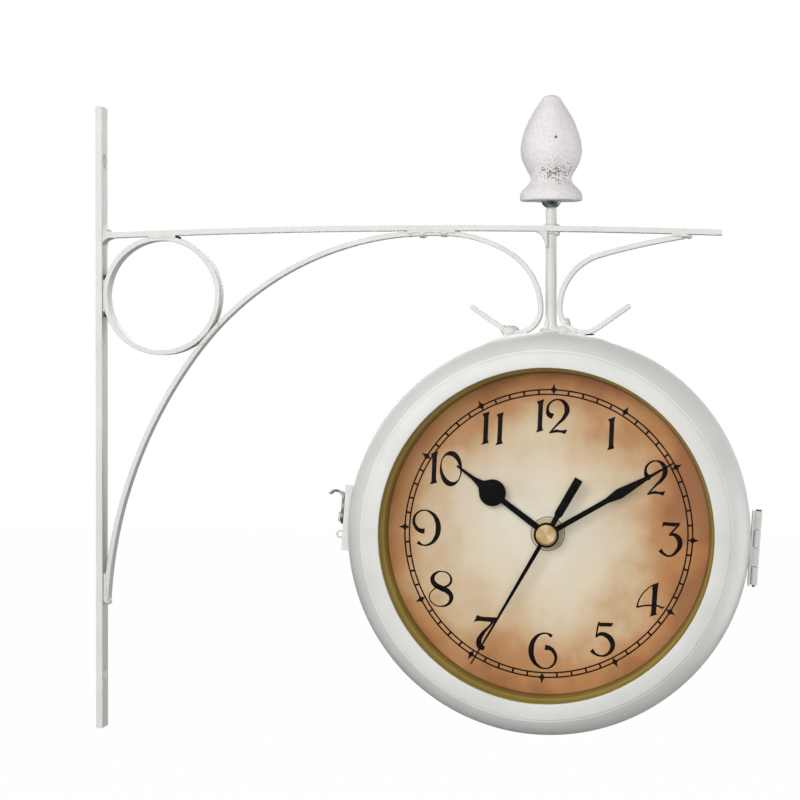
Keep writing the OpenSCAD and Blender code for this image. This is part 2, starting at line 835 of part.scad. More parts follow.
module spacer_ring() {
    glass_z = seat_z - glass_t;
    low_r = min(open_r - spacer_taper, dial_d / 2 - dial_lap);
    flange_t = 1.5;
    color(gilt)
        rotate_extrude()
            polygon([
                [low_r, dial_z], [open_r, glass_z], [glass_r, glass_z], [glass_r, glass_z - flange_t],
                [open_r + spacer_wall, glass_z - flange_t], [low_r + spacer_wall, dial_z + flange_t],
                [dial_d / 2, dial_z + flange_t], [dial_d / 2, dial_z]
            ]);
}

module dial() {
    color(card)
        translate([0, 0, dial_back])
            difference() {
                cylinder(d = dial_d, h = dial_t);
                translate([0, 0, -over])
                    cylinder(d = neck_d, h = dial_t + 2 * over);
            }
}

// Square with round corners, centred, drawn without offsets so that it stays exact
module round_square(size, r) {
    square([size - 2 * r, size], center = true);
    square([size, size - 2 * r], center = true);
    for (x = [-1, 1])
        for (y = [-1, 1])
            translate([x * (size / 2 - r), y * (size / 2 - r)])
                circle(r = r);
}

module movement_case() {
    inside = movement_w - 2 * movement_wall;
    bearing_r = arbor_d / 2 + pin_fit;
    color(mould)
        difference() {
            translate([0, 0, back_z])
                linear_extrude(cover_z - back_z)
                    round_square(movement_w, 4);
            translate([-inside / 2, cavity_low, floor_z])
                cube([inside, movement_w / 2 - movement_wall - cavity_low, movement_t]);
            translate([-inside / 2, bay_low, back_z - over])
                cube([inside, bay_top - bay_low, movement_t]);
            translate([0, 0, back_z + 0.4])
                cylinder(r = second_r + run_fit, h = movement_t);
            translate([setting_at[0], setting_at[1], back_z - over])
                cylinder(r = bearing_r, h = movement_t);
            translate([third_at[0], third_at[1], back_z + 0.4])
                cylinder(r = bearing_r, h = movement_t);
        }
}

module movement_cover() {
    bearing_r = arbor_d / 2 + pin_fit;
    color(mould)
        difference() {
            union() {
                translate([0, 0, cover_z])
                    linear_extrude(cover_t)
                        round_square(movement_w, 4);
                translate([0, 0, cover_z])
                    cylinder(d = neck_d, h = neck_top - cover_z);
            }
            translate([0, 0, cover_z - over])
                cylinder(r = hour_pipe_r + run_fit, h = neck_top);
            for (at = [setting_at, third_at])
                translate([at[0], at[1], cover_z - over])
                    cylinder(r = bearing_r, h = over + cover_t * 0.7);
        }
}

module shaft_nut() {
    color(brass)
        difference() {
            union() {
                translate([0, 0, dial_z])
                    cylinder(d = washer_d, h = nut_z - dial_z);
                translate([0, 0, nut_z])
                    cylinder(d = 12.6, h = nut_t, $fn = 6);
            }
            translate([0, 0, dial_z - over])
                cylinder(d = neck_d, h = nut_t + 3 * over);
        }
}

// Toothed wheel with slim clock teeth, one tooth centred on +X
module wheel(teeth, module_mm, h) {
    pitch_r = teeth * module_mm / 2;
    step = 360 / teeth;
    tip_r = pitch_r + 0.6 * module_mm;
    root_r = pitch_r - 0.9 * module_mm;
    linear_extrude(h)
        polygon([for (i = [0 : teeth - 1]) each [
            root_r * heading(step * (i - 0.27)), tip_r * heading(step * (i - 0.1)),
            tip_r * heading(step * (i + 0.1)), root_r * heading(step * (i + 0.27))
        ]]);
}

// Setting knob, its arbor, and the wheel and pinion between cannon pinion and hour wheel
module set_knob() {
    shaft_r = arbor_d / 2;
    grips = 16;
    color(white_mould)
        translate([setting_at[0], setting_at[1], 0])
            rotate([0, 0, setting_side + 180]) {
                translate([0, 0, back_z - knob_gap - knob_h])
                    difference() {
                        cylinder(d = knob_d, h = knob_h);
                        for (i = [0 : grips - 1])
                            rotate([0, 0, i * 360 / grips])
                                translate([knob_d / 2 + 0.2, 0, -over])
                                    cylinder(r = 0.6, h = knob_h + 2 * over);
                    }
                translate([0, 0, back_z - knob_gap - 0.2])
                    cylinder(r = shaft_r, h = cover_z + cover_t * 0.6 - back_z + knob_gap + 0.2);
                translate([0, 0, setting_wheel_z])
                    rotate([0, 0, gap_turn(setting_teeth)])
                        wheel(setting_teeth, setting_module, wheel_t);
                translate([0, 0, setting_wheel_z])
                    wheel(setting_pinion_teeth, hour_module, hour_wheel_z + pinion_t - setting_wheel_z);
            }
}

module battery() {
    nub_l = 1;
    nub_d = 5.5;
    color("#3f6f4a")
        translate([-cell_l / 2 + 0.5, (bay_top + bay_low) / 2, cover_z - 0.1 - cell_d / 2])
            rotate([0, 90, 0]) {
                cylinder(d = cell_d, h = cell_l - nub_l);
                translate([0, 0, cell_l - nub_l])
                    cylinder(d = nub_d, h = nub_l);
            }
}

module battery_contacts() {
    leaf = 0.4;
    leaf_wide = cell_d * 0.56;
    end_x = movement_w / 2 - movement_wall;
    low_y = (bay_top + bay_low - leaf_wide) / 2;
    cell_end = -cell_l / 2 + 0.5;
    color(steel) {
        translate([end_x - leaf, low_y, floor_z])
            cube([leaf, leaf_wide, cover_z - floor_z]);
        translate([-end_x, low_y, floor_z])
            cube([leaf, leaf_wide, cover_z - floor_z]);
        translate([-end_x, (bay_top + bay_low) / 2, (cover_z + floor_z) / 2])
            rotate([0, 90, 0])
                cylinder(d1 = leaf_wide, d2 = leaf_wide * 0.6, h = cell_end + end_x);
    }
}

module circuit_board() {
    board_t = 1;
    color("#2f6b45")
        translate([-movement_w / 2 + movement_wall + 0.3, movement_w / 2 - movement_wall - 9.3, floor_z])
            cube([11, 9, board_t]);
    color(mould)
        translate([-movement_w / 2 + movement_wall + 5.8, movement_w / 2 - movement_wall - 4.8, floor_z + board_t])
            cylinder(d1 = 6, d2 = 4, h = 0.9);
}

// Coil, iron core and stator of the stepping motor, with its rotor sealed in the stator
module step_motor() {
    coil_y = movement_w / 2 - movement_wall - 4;
    coil_z = floor_z + 3.6;
    iron_t = 0.9;
    color("#b4683a")
        translate([-9, coil_y, coil_z])
            rotate([0, 90, 0])
                cylinder(d = 6, h = 18);
    color(steel) {
        for (x = [-11, 9])
            translate([x, coil_y - 3.6, floor_z])
                cube([2, 7, 7.2]);
        translate([-11, 11.5, floor_z])
            cube([16, coil_y - 3.6 - 11.5 + 2, iron_t]);
    }
    color(white_mould)
        translate([-3, 14, floor_z])
            cylinder(d = 5.4, h = 5);
}

// Second wheel with its pinion on the long arbor that carries the second hand
module second_wheel() {
    color(brass)
        rotate([0, 0, third_side]) {
            translate([0, 0, second_wheel_z])
                wheel(second_teeth, second_module, wheel_t);
            translate([0, 0, second_wheel_z])
                wheel(second_pinion_teeth, third_module, third_wheel_z + pinion_t - second_wheel_z);
            translate([0, 0, back_z + 0.5])
                cylinder(r = second_r, h = hub_z + hub_t + 0.3 - back_z - 0.5);
        }
}

module third_wheel() {
    color(brass)
        translate([third_at[0], third_at[1], 0])
            rotate([0, 0, third_side + 180]) {
                translate([0, 0, back_z + 0.5])
                    cylinder(d = arbor_d, h = cover_z + cover_t * 0.6 - back_z - 0.5);
                translate([0, 0, third_wheel_z])
                    rotate([0, 0, gap_turn(third_teeth)])
                        wheel(third_teeth, third_module, wheel_t);
                translate([0, 0, third_wheel_z])
                    wheel(third_pinion_teeth, centre_module, centre_wheel_z + pinion_t - third_wheel_z);
            }
}

module centre_wheel() {
    color(brass)
        difference() {
            rotate([0, 0, third_side + gap_turn(centre_teeth)])
                translate([0, 0, centre_wheel_z])
                    wheel(centre_teeth, centre_module, wheel_t);
            translate([0, 0, centre_wheel_z - over])
                cylinder(r = cannon_r + run_fit, h = wheel_t + 2 * over);
        }
}

// Cannon pinion: the pipe that carries the minute hand and slips inside the centre wheel
module cannon_pinion() {
    color(brass)
        difference() {
            union() {
                translate([0, 0, centre_wheel_z - 0.3])
                    cylinder(r = cannon_r, h = minute_z + hand_t + 0.4 - centre_wheel_z + 0.3);
                translate([0, 0, centre_wheel_z - 1.1])
                    cylinder(r = cannon_r + 1, h = 0.8);
                rotate([0, 0, setting_side])
                    translate([0, 0, setting_wheel_z - 0.3])
                        wheel(cannon_teeth, setting_module, wheel_t + 0.6);
            }
            translate([0, 0, centre_wheel_z - 2])
                cylinder(r = second_r + run_fit, h = minute_z);
        }
}

module hour_wheel() {
    color(white_mould)
        difference() {
            union() {
                rotate([0, 0, setting_side + gap_turn(hour_teeth)])
                    translate([0, 0, hour_wheel_z])
                        wheel(hour_teeth, hour_module, wheel_t);
                translate([0, 0, hour_wheel_z])
                    cylinder(r = hour_pipe_r, h = hour_z + hand_t + 0.3 - hour_wheel_z);
            }
            translate([0, 0, hour_wheel_z - over])
                cylinder(r = cannon_r + run_fit, h = minute_z);
        }
}

// Closes the outline of a hand from the points of its right-hand side
function both_sides(points) = concat(points,
    [for (i = [len(points) - 1 : -1 : 0]) [-points[i][0], points[i][1]]]);

// Lays a hand that points up, with its round hub, at its dial angle and height
module hand(outline, hub_r, angle, z, thick, bore_r, hub_h = 0) {
    hub_top = max(thick, hub_h);
    color(hands_black)
        translate([0, 0, z])
            rotate([0, 0, -angle - dial_turn])
                difference() {
                    union() {
                        linear_extrude(thick)
                            polygon(outline);
                        cylinder(r = hub_r, h = hub_top);
                    }
                    translate([0, 0, -over])
                        cylinder(r = bore_r, h = hub_top + 2 * over);
                }
}

// Spade hand: a round bulb that draws in to a long needle
module hour_hand() {
    shaft = 1.3;
    bulb_r = 6.1;
    bulb_y = hour_l * 0.606;
    bulb = [for (a = [-acos(shaft / bulb_r) : 9 : 40]) [bulb_r * cos(a), bulb_y + bulb_r * sin(a)]];
    side = concat([[shaft + 0.2, 0]], bulb, [[2, bulb_y + 6.4], [1.3, bulb_y + 8.8],
                  [0.9, bulb_y + 11], [0.45, hour_l]]);
    hand(both_sides(side), 5.2, hour_angle, hour_z, hand_t, hour_pipe_r);
}

// Lozenge hand: straight shaft, long lozenge and a needle point
module minute_hand() {
    side = [[1.2, 0], [1.2, minute_l * 0.47], [2.4, minute_l * 0.57],
            [0.7, minute_l * 0.82], [0.3, minute_l]];
    hand(both_sides(side), 4.4, minute_angle, minute_z, hand_t, cannon_r);
}

// Needle hand with a flat-ended counterweight and a round black hub
module second_hand() {
    neck_l = 9.3;
    side = [[1.95, -tail_back], [1.85, -neck_l - 1.4], [1.2, -neck_l], [1.05, 0], [0.3, second_l]];
    hand(both_sides(side), hub_d / 2, second_angle, hub_z, second_t, second_r, hub_t);
}

module hand_cap() {
    color(brass)
        translate([0, 0, hub_z + hub_t])
            difference() {
                union() {
                    cylinder(d = cap_d, h = cap_t * 0.6);
                    translate([0, 0, cap_t * 0.6])
                        cylinder(d1 = cap_d, d2 = cap_d - 1.6, h = cap_t * 0.4);
                }
                translate([0, 0, -over])
                    cylinder(r = second_r, h = over + 0.3);
            }
}

wall_strip();
arm_bar();
brace_ring();
arch_brace();
right_scroll();
stem();
weld_beads();
finial();
finial_collar();
front_shell();
rear_shell();
hinge_leaf_door();
hinge_leaf_case();
hinge_pin();
latch_plate_door();
latch_plate_case();
latch_hook();
latch_rivet();
front_side() glass();  // front_glass
front_side() spacer_ring();  // front_spacer_ring
front_side() dial();  // front_dial
front_side() movement_case();  // front_movement_case
front_side() movement_cover();  // front_movement_cover
front_side() shaft_nut();  // front_shaft_nut
front_side() set_knob();  // front_set_knob
front_side() battery();  // front_battery
front_side() battery_contacts();  // front_battery_contacts
front_side() circuit_board();  // front_circuit_board
front_side() step_motor();  // front_step_motor
front_side() second_wheel();  // front_second_wheel
front_side() third_wheel();  // front_third_wheel
front_side() centre_wheel();  // front_centre_wheel
front_side() cannon_pinion();  // front_cannon_pinion
front_side() hour_wheel();  // front_hour_wheel
front_side() hour_hand();  // front_hour_hand
front_side() minute_hand();  // front_minute_hand
front_side() second_hand();  // front_second_hand
front_side() hand_cap();  // front_hand_cap
rear_side() glass();  // rear_glass
rear_side() spacer_ring();  // rear_spacer_ring
rear_side() dial();  // rear_dial
rear_side() movement_case();  // rear_movement_case
rear_side() movement_cover();  // rear_movement_cover
rear_side() shaft_nut();  // rear_shaft_nut
rear_side() set_knob();  // rear_set_knob
rear_side() battery();  // rear_battery
rear_side() battery_contacts();  // rear_battery_contacts
rear_side() circuit_board();  // rear_circuit_board
rear_side() step_motor();  // rear_step_motor
rear_side() second_wheel();  // rear_second_wheel
rear_side() third_wheel();  // rear_third_wheel
rear_side() centre_wheel();  // rear_centre_wheel
rear_side() cannon_pinion();  // rear_cannon_pinion
rear_side() hour_wheel();  // rear_hour_wheel
rear_side() hour_hand();  // rear_hour_hand
rear_side() minute_hand();  // rear_minute_hand
rear_side() second_hand();  // rear_second_hand
rear_side() hand_cap();  // rear_hand_cap
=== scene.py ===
"""Looks of a double-sided station clock on its wall bracket, in the part's own frame.

Sizes are in mm and angles in degrees where no other unit is named.
"""
import json
import math
import bpy
from mathutils import Euler, Matrix, Vector

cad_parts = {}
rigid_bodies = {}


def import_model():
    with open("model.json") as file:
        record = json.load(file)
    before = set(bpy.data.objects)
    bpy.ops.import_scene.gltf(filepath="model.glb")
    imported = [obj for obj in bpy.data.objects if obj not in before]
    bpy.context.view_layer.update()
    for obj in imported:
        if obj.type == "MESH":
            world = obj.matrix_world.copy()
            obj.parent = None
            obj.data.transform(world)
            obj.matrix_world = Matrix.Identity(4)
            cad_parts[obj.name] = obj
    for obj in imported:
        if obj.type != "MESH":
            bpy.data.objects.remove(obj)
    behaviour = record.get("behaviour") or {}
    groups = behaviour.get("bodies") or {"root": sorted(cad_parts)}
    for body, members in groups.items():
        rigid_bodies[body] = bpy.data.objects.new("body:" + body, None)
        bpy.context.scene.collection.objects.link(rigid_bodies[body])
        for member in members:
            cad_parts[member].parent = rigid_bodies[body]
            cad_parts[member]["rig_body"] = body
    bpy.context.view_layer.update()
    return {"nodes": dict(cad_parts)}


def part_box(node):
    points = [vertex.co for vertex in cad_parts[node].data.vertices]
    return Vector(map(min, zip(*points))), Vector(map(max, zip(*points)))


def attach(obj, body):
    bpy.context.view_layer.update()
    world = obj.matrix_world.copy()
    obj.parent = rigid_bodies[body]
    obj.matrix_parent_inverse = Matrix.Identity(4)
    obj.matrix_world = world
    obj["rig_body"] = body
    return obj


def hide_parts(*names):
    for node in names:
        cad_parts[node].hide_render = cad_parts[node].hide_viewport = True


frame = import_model()

MM = 0.001

# Camera: a long lens, to the right of the clock
CAMERA_YAW = 6.8
CAMERA_PITCH = -0.8
CAMERA_ROLL = -0.02
CAMERA_DISTANCE = 1264.4
CAMERA_AIM = (142.2, 0, 8.5)
FOCAL_PX = 2735
IMAGE_PX = 800
SENSOR_MM = 36

# Casing: section sizes, as radius from the hands' axis and height towards the viewer
CASE_R = 91
BAND_TOP = 20.5
SHOULDER_R = 24.7
SHOULDER_SWEEP = 47.46
STEP_R = 82.2
LEDGE_TOP = 38.7
FACE_LOW = 39.7
FACE_TOP = 40.5
FACE_BULGE = 0.28
FACE_STEPS = 8
SHOULDER_STEPS = 16
OPENING_R = 75
SHEET = 1
SEAM = 8
SEAM_GAP = 0.3
LIP_OUT = 89.6
LIP_IN = 88.8
LIP_DEPTH = 4
LIP_ROOT = 5
GLASS_BACK = 36.7
GLASS_R = 80.9
DIAL_TOP = 20.5
DIAL_R = 79
RING_FOOT_R = 72.6
RING_WALL = 1.6
RING_RIM = 1.5
WASHER_IN = 5.5
WASHER_OUT = 7.6

# Finial: widths, and heights above its base
FOOT_D = 28.6
FOOT_EDGE = 0.4
LIP_Z = 2
WAIST_D = 18.7
WAIST_Z = 10.2
BULB_D = 28.2
BULB_Z = 23
BULB_SWELL = 0.75
TIP_D = 9
TAPER_Z = 46.1
TAPER_CURVE = 1.8
FINIAL_H = 48.5
PROFILE_STEPS = 70

# Marks in the finial's paint, from the middle of its base
SPECKS_AT = (4.5, -10, 12.5)
BLOWHOLE_AT = (3, -13.2, 28.3)
BLOWHOLE_R = 0.7

# Print on the dials: turned a little, with its tan rim centred off the axis as painted light that lightens
# its left side
DIAL_TURN = 2.3
TRACK_OUT = 65.1
TRACK_IN = 63.0
TRACK_LINE = 0.7
TICK = 0.85
INK_LIFT = 0.02
STROKE_PRESS = 0.02
PRINT_DEPTH = 0.3
PAINTED_LIGHT_SHIFT_X = -5
NUMERAL_R = 54.2
NUMERAL_DRIFT = 1.1
STAR = [
    (0, 3), (0.65, 0.95), (1.75, 0), (0.65, -0.85), (0, -2.2), (-0.65, -0.85), (-1.75, 0), (-0.65, 0.95),
]

# Studio: heights, places and widths in metres, power in watts
FLOOR_Z = -1.3
FLOOR_WIDTH = 40
FLOOR_GLOW = 0.92
SOFT_WORLD = 0.22
LAMPS_AIM = (0.18, 0, 0)
LAMPS = [
    ("key", (-0.35, -2.05, 0.55), 1.1, 16.5),
    ("front", (0.4, -2.2, 0.15), 1.0, 18),
    ("left", (-1.8, -1.0, 0.0), 1.0, 8.5),
    ("right", (2.1, -0.9, 0.0), 1.0, 2.5),
    ("low", (1.6, 0.6, -0.4), 1.2, 10),
    ("top", (0.2, -0.3, 1.6), 1.2, 2),
    ("back", (-0.3, 1.9, 0.5), 1.4, 13),
]

# Mesh making
CAD_MERGE = 0.002
SPIN_MERGE = 0.001
FLAT_WITHIN = 0.4
BEVEL_ABOVE = math.radians(30)
ROUGH_CREASE = 60
FILLET_STEPS = 8
FILLET_FULLNESS = 0.3


def middle(node):
    """The centre of a CAD node's box."""
    low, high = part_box(node)
    return (low + high) / 2


DIAL_CENTRE = middle("front_dial")
HANDS_AXIS = Vector((DIAL_CENTRE.x, 0, DIAL_CENTRE.z))
QUARTER = math.radians(90)
SIDES = {
    "front": Matrix.Translation(HANDS_AXIS) @ Euler((QUARTER, 0, 0)).to_matrix().to_4x4(),
    "rear": Matrix.Translation(HANDS_AXIS) @ Euler((QUARTER, 0, 2 * QUARTER)).to_matrix().to_4x4(),
}


# Selecting, editing and finishing a piece


def only(obj):
    """Selects one object alone and makes it the active one."""
    bpy.ops.object.select_all(action="DESELECT")
    obj.select_set(True)
    bpy.context.view_layer.objects.active = obj


def applied(obj, kind, **settings):
    """Adds one modifier with its settings and applies it."""
    only(obj)
    modifier = obj.modifiers.new(kind.title(), kind)
    for name, value in settings.items():
        setattr(modifier, name, value)
    bpy.ops.object.modifier_apply(modifier=modifier.name)
    return obj


def smooth(obj, angle=35):
    """Shades a piece smooth, but for edges sharper than an angle."""
    only(obj)
    bpy.ops.object.shade_smooth_by_angle(angle=math.radians(angle))
    return obj


def placed(obj, matrix):
    """Moves a piece by a matrix and puts its place into its mesh."""
    only(obj)
    obj.matrix_world = matrix @ obj.matrix_world
    bpy.ops.object.transform_apply(location=True, rotation=True, scale=True)
    return obj


def dressed(obj, material, slot, body, *nodes):
    """Gives a finished piece its material and its body, and lets it stand for CAD nodes; its slot is not
    used.
    """
    obj.data.materials.clear()
    obj.data.materials.append(material)
    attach(obj, body)
    if nodes:
        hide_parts(*nodes)
    return obj


def body_of(node):
    """The body that a CAD node rides on."""
    return frame["nodes"][node]["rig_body"]


def merged_copy(node, name):
    """A copy of a CAD node with its loose triangles joined and its flat faces made whole."""
    obj = bpy.data.objects.new(name, frame["nodes"][node].data.copy())
    bpy.context.scene.collection.objects.link(obj)
    only(obj)
    bpy.ops.object.mode_set(mode="EDIT")
    bpy.ops.mesh.select_all(action="SELECT")
    bpy.ops.mesh.remove_doubles(threshold=CAD_MERGE * MM)
    bpy.ops.mesh.dissolve_limited(angle_limit=math.radians(FLAT_WITHIN))
    bpy.ops.object.mode_set(mode="OBJECT")
    return obj


def eased(node, radius, material, slot, segments=2, angle=35):
    """A CAD node's shape with its sharp edges rounded to a radius."""
    obj = merged_copy(node, node + "_eased")
    applied(obj, "BEVEL", width=radius * MM, segments=segments, limit_method="ANGLE",
            angle_limit=BEVEL_ABOVE, use_clamp_overlap=True)
    smooth(obj, angle)
    applied(obj, "WEIGHTED_NORMAL", keep_sharp=True)
    return dressed(obj, material, slot, body_of(node), node)


def grain(obj, size, height):
    """Raises and sinks a skin in lumps of a size and height."""
    cloud = bpy.data.textures.new(obj.name, "CLOUDS")
    cloud.noise_scale = size * MM
    applied(obj, "DISPLACE", texture=cloud, texture_coords="LOCAL", strength=height * MM, mid_level=0.5)


def run_together(name, pieces, voxel, passes):
    """Makes one skin of overlapping pieces, as molten metal runs together, on a grid of voxels."""
    bpy.ops.object.select_all(action="DESELECT")
    for piece in pieces:
        piece.select_set(True)
    bpy.context.view_layer.objects.active = pieces[0]
    bpy.ops.object.join()
    pieces[0].name = name
    applied(pieces[0], "REMESH", mode="VOXEL", voxel_size=voxel * MM)
    return applied(pieces[0], "SMOOTH", factor=0.5, iterations=passes)


def turned(name, section, steps=192, edge=0.0):
    """A turned piece: a corner is extruded round a section of (radius, height) points, and spun."""
    bpy.ops.object.select_all(action="DESELECT")
    bpy.ops.mesh.primitive_plane_add(size=MM)
    obj = bpy.context.active_object
    obj.name = name
    corners = [Vector((r, 0, h)) * MM for r, h in section]
    bpy.ops.object.mode_set(mode="EDIT")
    bpy.ops.mesh.select_all(action="SELECT")
    bpy.ops.mesh.merge(type="CENTER")
    bpy.ops.transform.translate(value=corners[0])
    for start, end in zip(corners, corners[1:] + corners[:1]):
        bpy.ops.mesh.extrude_region_move(TRANSFORM_OT_translate={"value": end - start})
    bpy.ops.mesh.select_all(action="SELECT")
    bpy.ops.mesh.remove_doubles(threshold=SPIN_MERGE * MM)
    bpy.ops.mesh.spin(steps=steps, angle=math.tau, center=(0, 0, 0), axis=(0, 0, 1))
    bpy.ops.mesh.select_all(action="SELECT")
    bpy.ops.mesh.remove_doubles(threshold=SPIN_MERGE * MM)
    bpy.ops.mesh.normals_make_consistent(inside=False)
    bpy.ops.object.mode_set(mode="OBJECT")
    if edge:
        applied(obj, "BEVEL", width=edge * MM, segments=3, limit_method="ANGLE",
                angle_limit=BEVEL_ABOVE, use_clamp_overlap=True)
    return smooth(obj)


def new_curve(name, dimensions):
    """An empty curve object, and its curve."""
    curve = bpy.data.curves.new(name, "CURVE")
    curve.dimensions = dimensions
    curve.resolution_u = 8
    obj = bpy.data.objects.new(name, curve)
    bpy.context.scene.collection.objects.link(obj)
    return obj, curve


def plate(curve, corners, place):
    """Lays one filled outline into a flat curve."""
    spline = curve.splines.new("POLY")
    spline.points.add(len(corners) - 1)
    for corner, (x, y) in zip(spline.points, corners):
        corner.co = (*(place @ Vector((x, y, 0)) * MM), 1)
    spline.use_cyclic_u = True


def as_mesh(obj, lift=0, flatten=1.0):
    """Turns a curve into a mesh, pressed to a share of its height and lifted."""
    only(obj)
    bpy.ops.object.convert(target="MESH")
    press = Matrix.Translation((0, 0, lift * MM)) @ Matrix.Diagonal((1, 1, flatten, 1))
    return placed(bpy.context.active_object, press)


def arc(centre, radius, start, end, steps):
    """Points along an arc, from one angle to another."""
    turns = [math.radians(start + (end - start) * i / steps) for i in range(steps + 1)]
    return [(centre[0] + radius * math.cos(a), centre[1] + radius * math.sin(a)) for a in turns]


# Materials


def linear(colour):
    """An sRGB hex colour as linear red, green, blue and alpha."""
    values = [int(colour[i:i + 2], 16) / 255 for i in (1, 3, 5)]
    return [v / 12.92 if v <= 0.04045 else ((v + 0.055) / 1.055) ** 2.4 for v in values] + [1]


def per_metre(size):
    """Pattern scale whose features are about this size."""
    return 1 / (size * MM)


def waves_per_metre(pitch):
    """Scale of a wave pattern with its crests this far apart: it has 20 / tau of them in one unit."""
    return per_metre(pitch) * math.tau / 20


def node(tree, kind, links=None, values=None, stops=None, **settings):
    """Adds a node with its settings, its colour stops, its constant inputs and what feeds it."""
    made = tree.nodes.new("ShaderNode" + kind)
    for name, value in settings.items():
        setattr(made, name, value)
    for i, (place, colour) in enumerate(stops or []):
        stop = made.color_ramp.elements[i] if i < 2 else made.color_ramp.elements.new(place)
        stop.position = place
        stop.color = linear(colour)
    for socket, value in (values or {}).items():
        made.inputs[socket].default_value = value
    for socket, source in (links or {}).items():
        tree.links.new(source, made.inputs[socket])
    return made


def material(name, colour, roughness, **values):
    """A material whose shader starts from constants, with its tree, shader and coordinates."""
    made = bpy.data.materials.new(name)
    made.use_nodes = True
    tree = made.node_tree
    shader = tree.nodes["Principled BSDF"]
    shader.inputs["Base Color"].default_value = linear(colour)
    shader.inputs["Roughness"].default_value = roughness
    for socket, value in values.items():
        shader.inputs[socket.replace("_", " ")].default_value = value
    place = node(tree, "TexCoord").outputs["Object"]
    return made, tree, shader, place


def sprayed_enamel():
    """Off-white enamel sprayed on steel: semi-gloss, with faint orange peel and slightly uneven tone."""
    made, tree, shader, place = material("sprayed_enamel_off_white", "#DEDEDA", 0.38)
    tone = node(tree, "TexNoise", {"Vector": place}, {"Scale": per_metre(22), "Detail": 3.0})
    shade = node(tree, "ValToRGB", {"Fac": tone.outputs["Fac"]}, stops=[(0.3, "#D9D9D4"), (0.7, "#E2E2DF")])
    tree.links.new(shade.outputs["Color"], shader.inputs["Base Color"])
    gloss = node(tree, "TexNoise", {"Vector": place}, {"Scale": per_metre(7), "Detail": 2.0})
    rough = node(tree, "MapRange", {"Value": gloss.outputs["Fac"]}, {"To Min": 0.3, "To Max": 0.46})
    tree.links.new(rough.outputs["Result"], shader.inputs["Roughness"])
    # Orange peel is about 0.4 mm wide on the real paint, and is drawn at 3 mm so that it shows
    peel = node(tree, "TexNoise", {"Vector": place}, {"Scale": per_metre(3), "Detail": 0.0})
    wave = node(tree, "TexNoise", {"Vector": place}, {"Scale": per_metre(11), "Detail": 0.0})
    small = node(tree, "Bump", {"Height": peel.outputs["Fac"]}, {"Strength": 0.08, "Distance": 0.15 * MM})
    large = node(tree, "Bump", {"Height": wave.outputs["Fac"], "Normal": small.outputs["Normal"]},
                 {"Strength": 0.25, "Distance": 0.4 * MM})
    tree.links.new(large.outputs["Normal"], shader.inputs["Normal"])
    return made


def rough_cast_paint():
    """Thin pinkish white paint on a rough casting: matt and grainy, with rust-brown specks at its waist."""
    made, tree, shader, place = material("cast_iron_thin_white_paint", "#EEEAEA", 0.75)
    tone = node(tree, "TexNoise", {"Vector": place},
                {"Scale": per_metre(1.1), "Detail": 4.0, "Roughness": 0.7})
    base = node(tree, "ValToRGB", {"Fac": tone.outputs["Fac"]},
                stops=[(0.34, "#E4DEDE"), (0.6, "#F4F1F0")])
    low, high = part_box("finial")
    foot = Vector(((low.x + high.x) / 2, (low.y + high.y) / 2, low.z))
    # The specks thin out twice as fast in height as round the waist
    squat = node(tree, "Mapping", {"Vector": place}, {"Scale": (1, 1, 2)}).outputs["Vector"]
    heart = foot + Vector(SPECKS_AT) * MM
    away = node(tree, "VectorMath", {0: squat}, {1: (heart.x, heart.y, 2 * heart.z)},
                operation="DISTANCE")
    near = node(tree, "MapRange", {"Value": away.outputs["Value"]},
                {"From Min": 4 * MM, "From Max": 16 * MM, "To Min": 0.86, "To Max": 0.16})
    grit = node(tree, "TexVoronoi", {"Vector": place}, {"Scale": per_metre(0.8), "Randomness": 1.0})
    patch = node(tree, "TexNoise", {"Vector": place}, {"Scale": per_metre(2.6), "Detail": 2.0})
    reach = node(tree, "Math", {0: near.outputs["Result"], 1: patch.outputs["Fac"]}, operation="MULTIPLY")
    speck = node(tree, "Math", {0: grit.outputs["Distance"], 1: reach.outputs["Value"]},
                 operation="LESS_THAN")
    blowhole = node(tree, "VectorMath", {0: place}, {1: tuple(foot + Vector(BLOWHOLE_AT) * MM)},
                    operation="DISTANCE")
    hole = node(tree, "Math", {0: blowhole.outputs["Value"]}, {1: BLOWHOLE_R * MM},
                operation="LESS_THAN")
    marks = node(tree, "Math", {0: speck.outputs["Value"], 1: hole.outputs["Value"]},
                 operation="MAXIMUM")
    strength = node(tree, "Math", {0: marks.outputs["Value"]}, {1: 0.88}, operation="MULTIPLY")
    mixed = node(tree, "Mix", {0: strength.outputs["Value"], 6: base.outputs["Color"]},
                 {7: linear("#63403F")}, data_type="RGBA")
    tree.links.new(mixed.outputs[2], shader.inputs["Base Color"])
    grain = node(tree, "TexNoise", {"Vector": place}, {"Scale": per_metre(1.2), "Detail": 3.0})
    relief = node(tree, "Bump", {"Height": grain.outputs["Fac"]}, {"Strength": 0.5, "Distance": 0.3 * MM})
    pits = node(tree, "Bump", {"Height": marks.outputs["Value"], "Normal": relief.outputs["Normal"]},
                {"Strength": 0.4, "Distance": 0.2 * MM}, invert=True)
    tree.links.new(pits.outputs["Normal"], shader.inputs["Normal"])
    return made


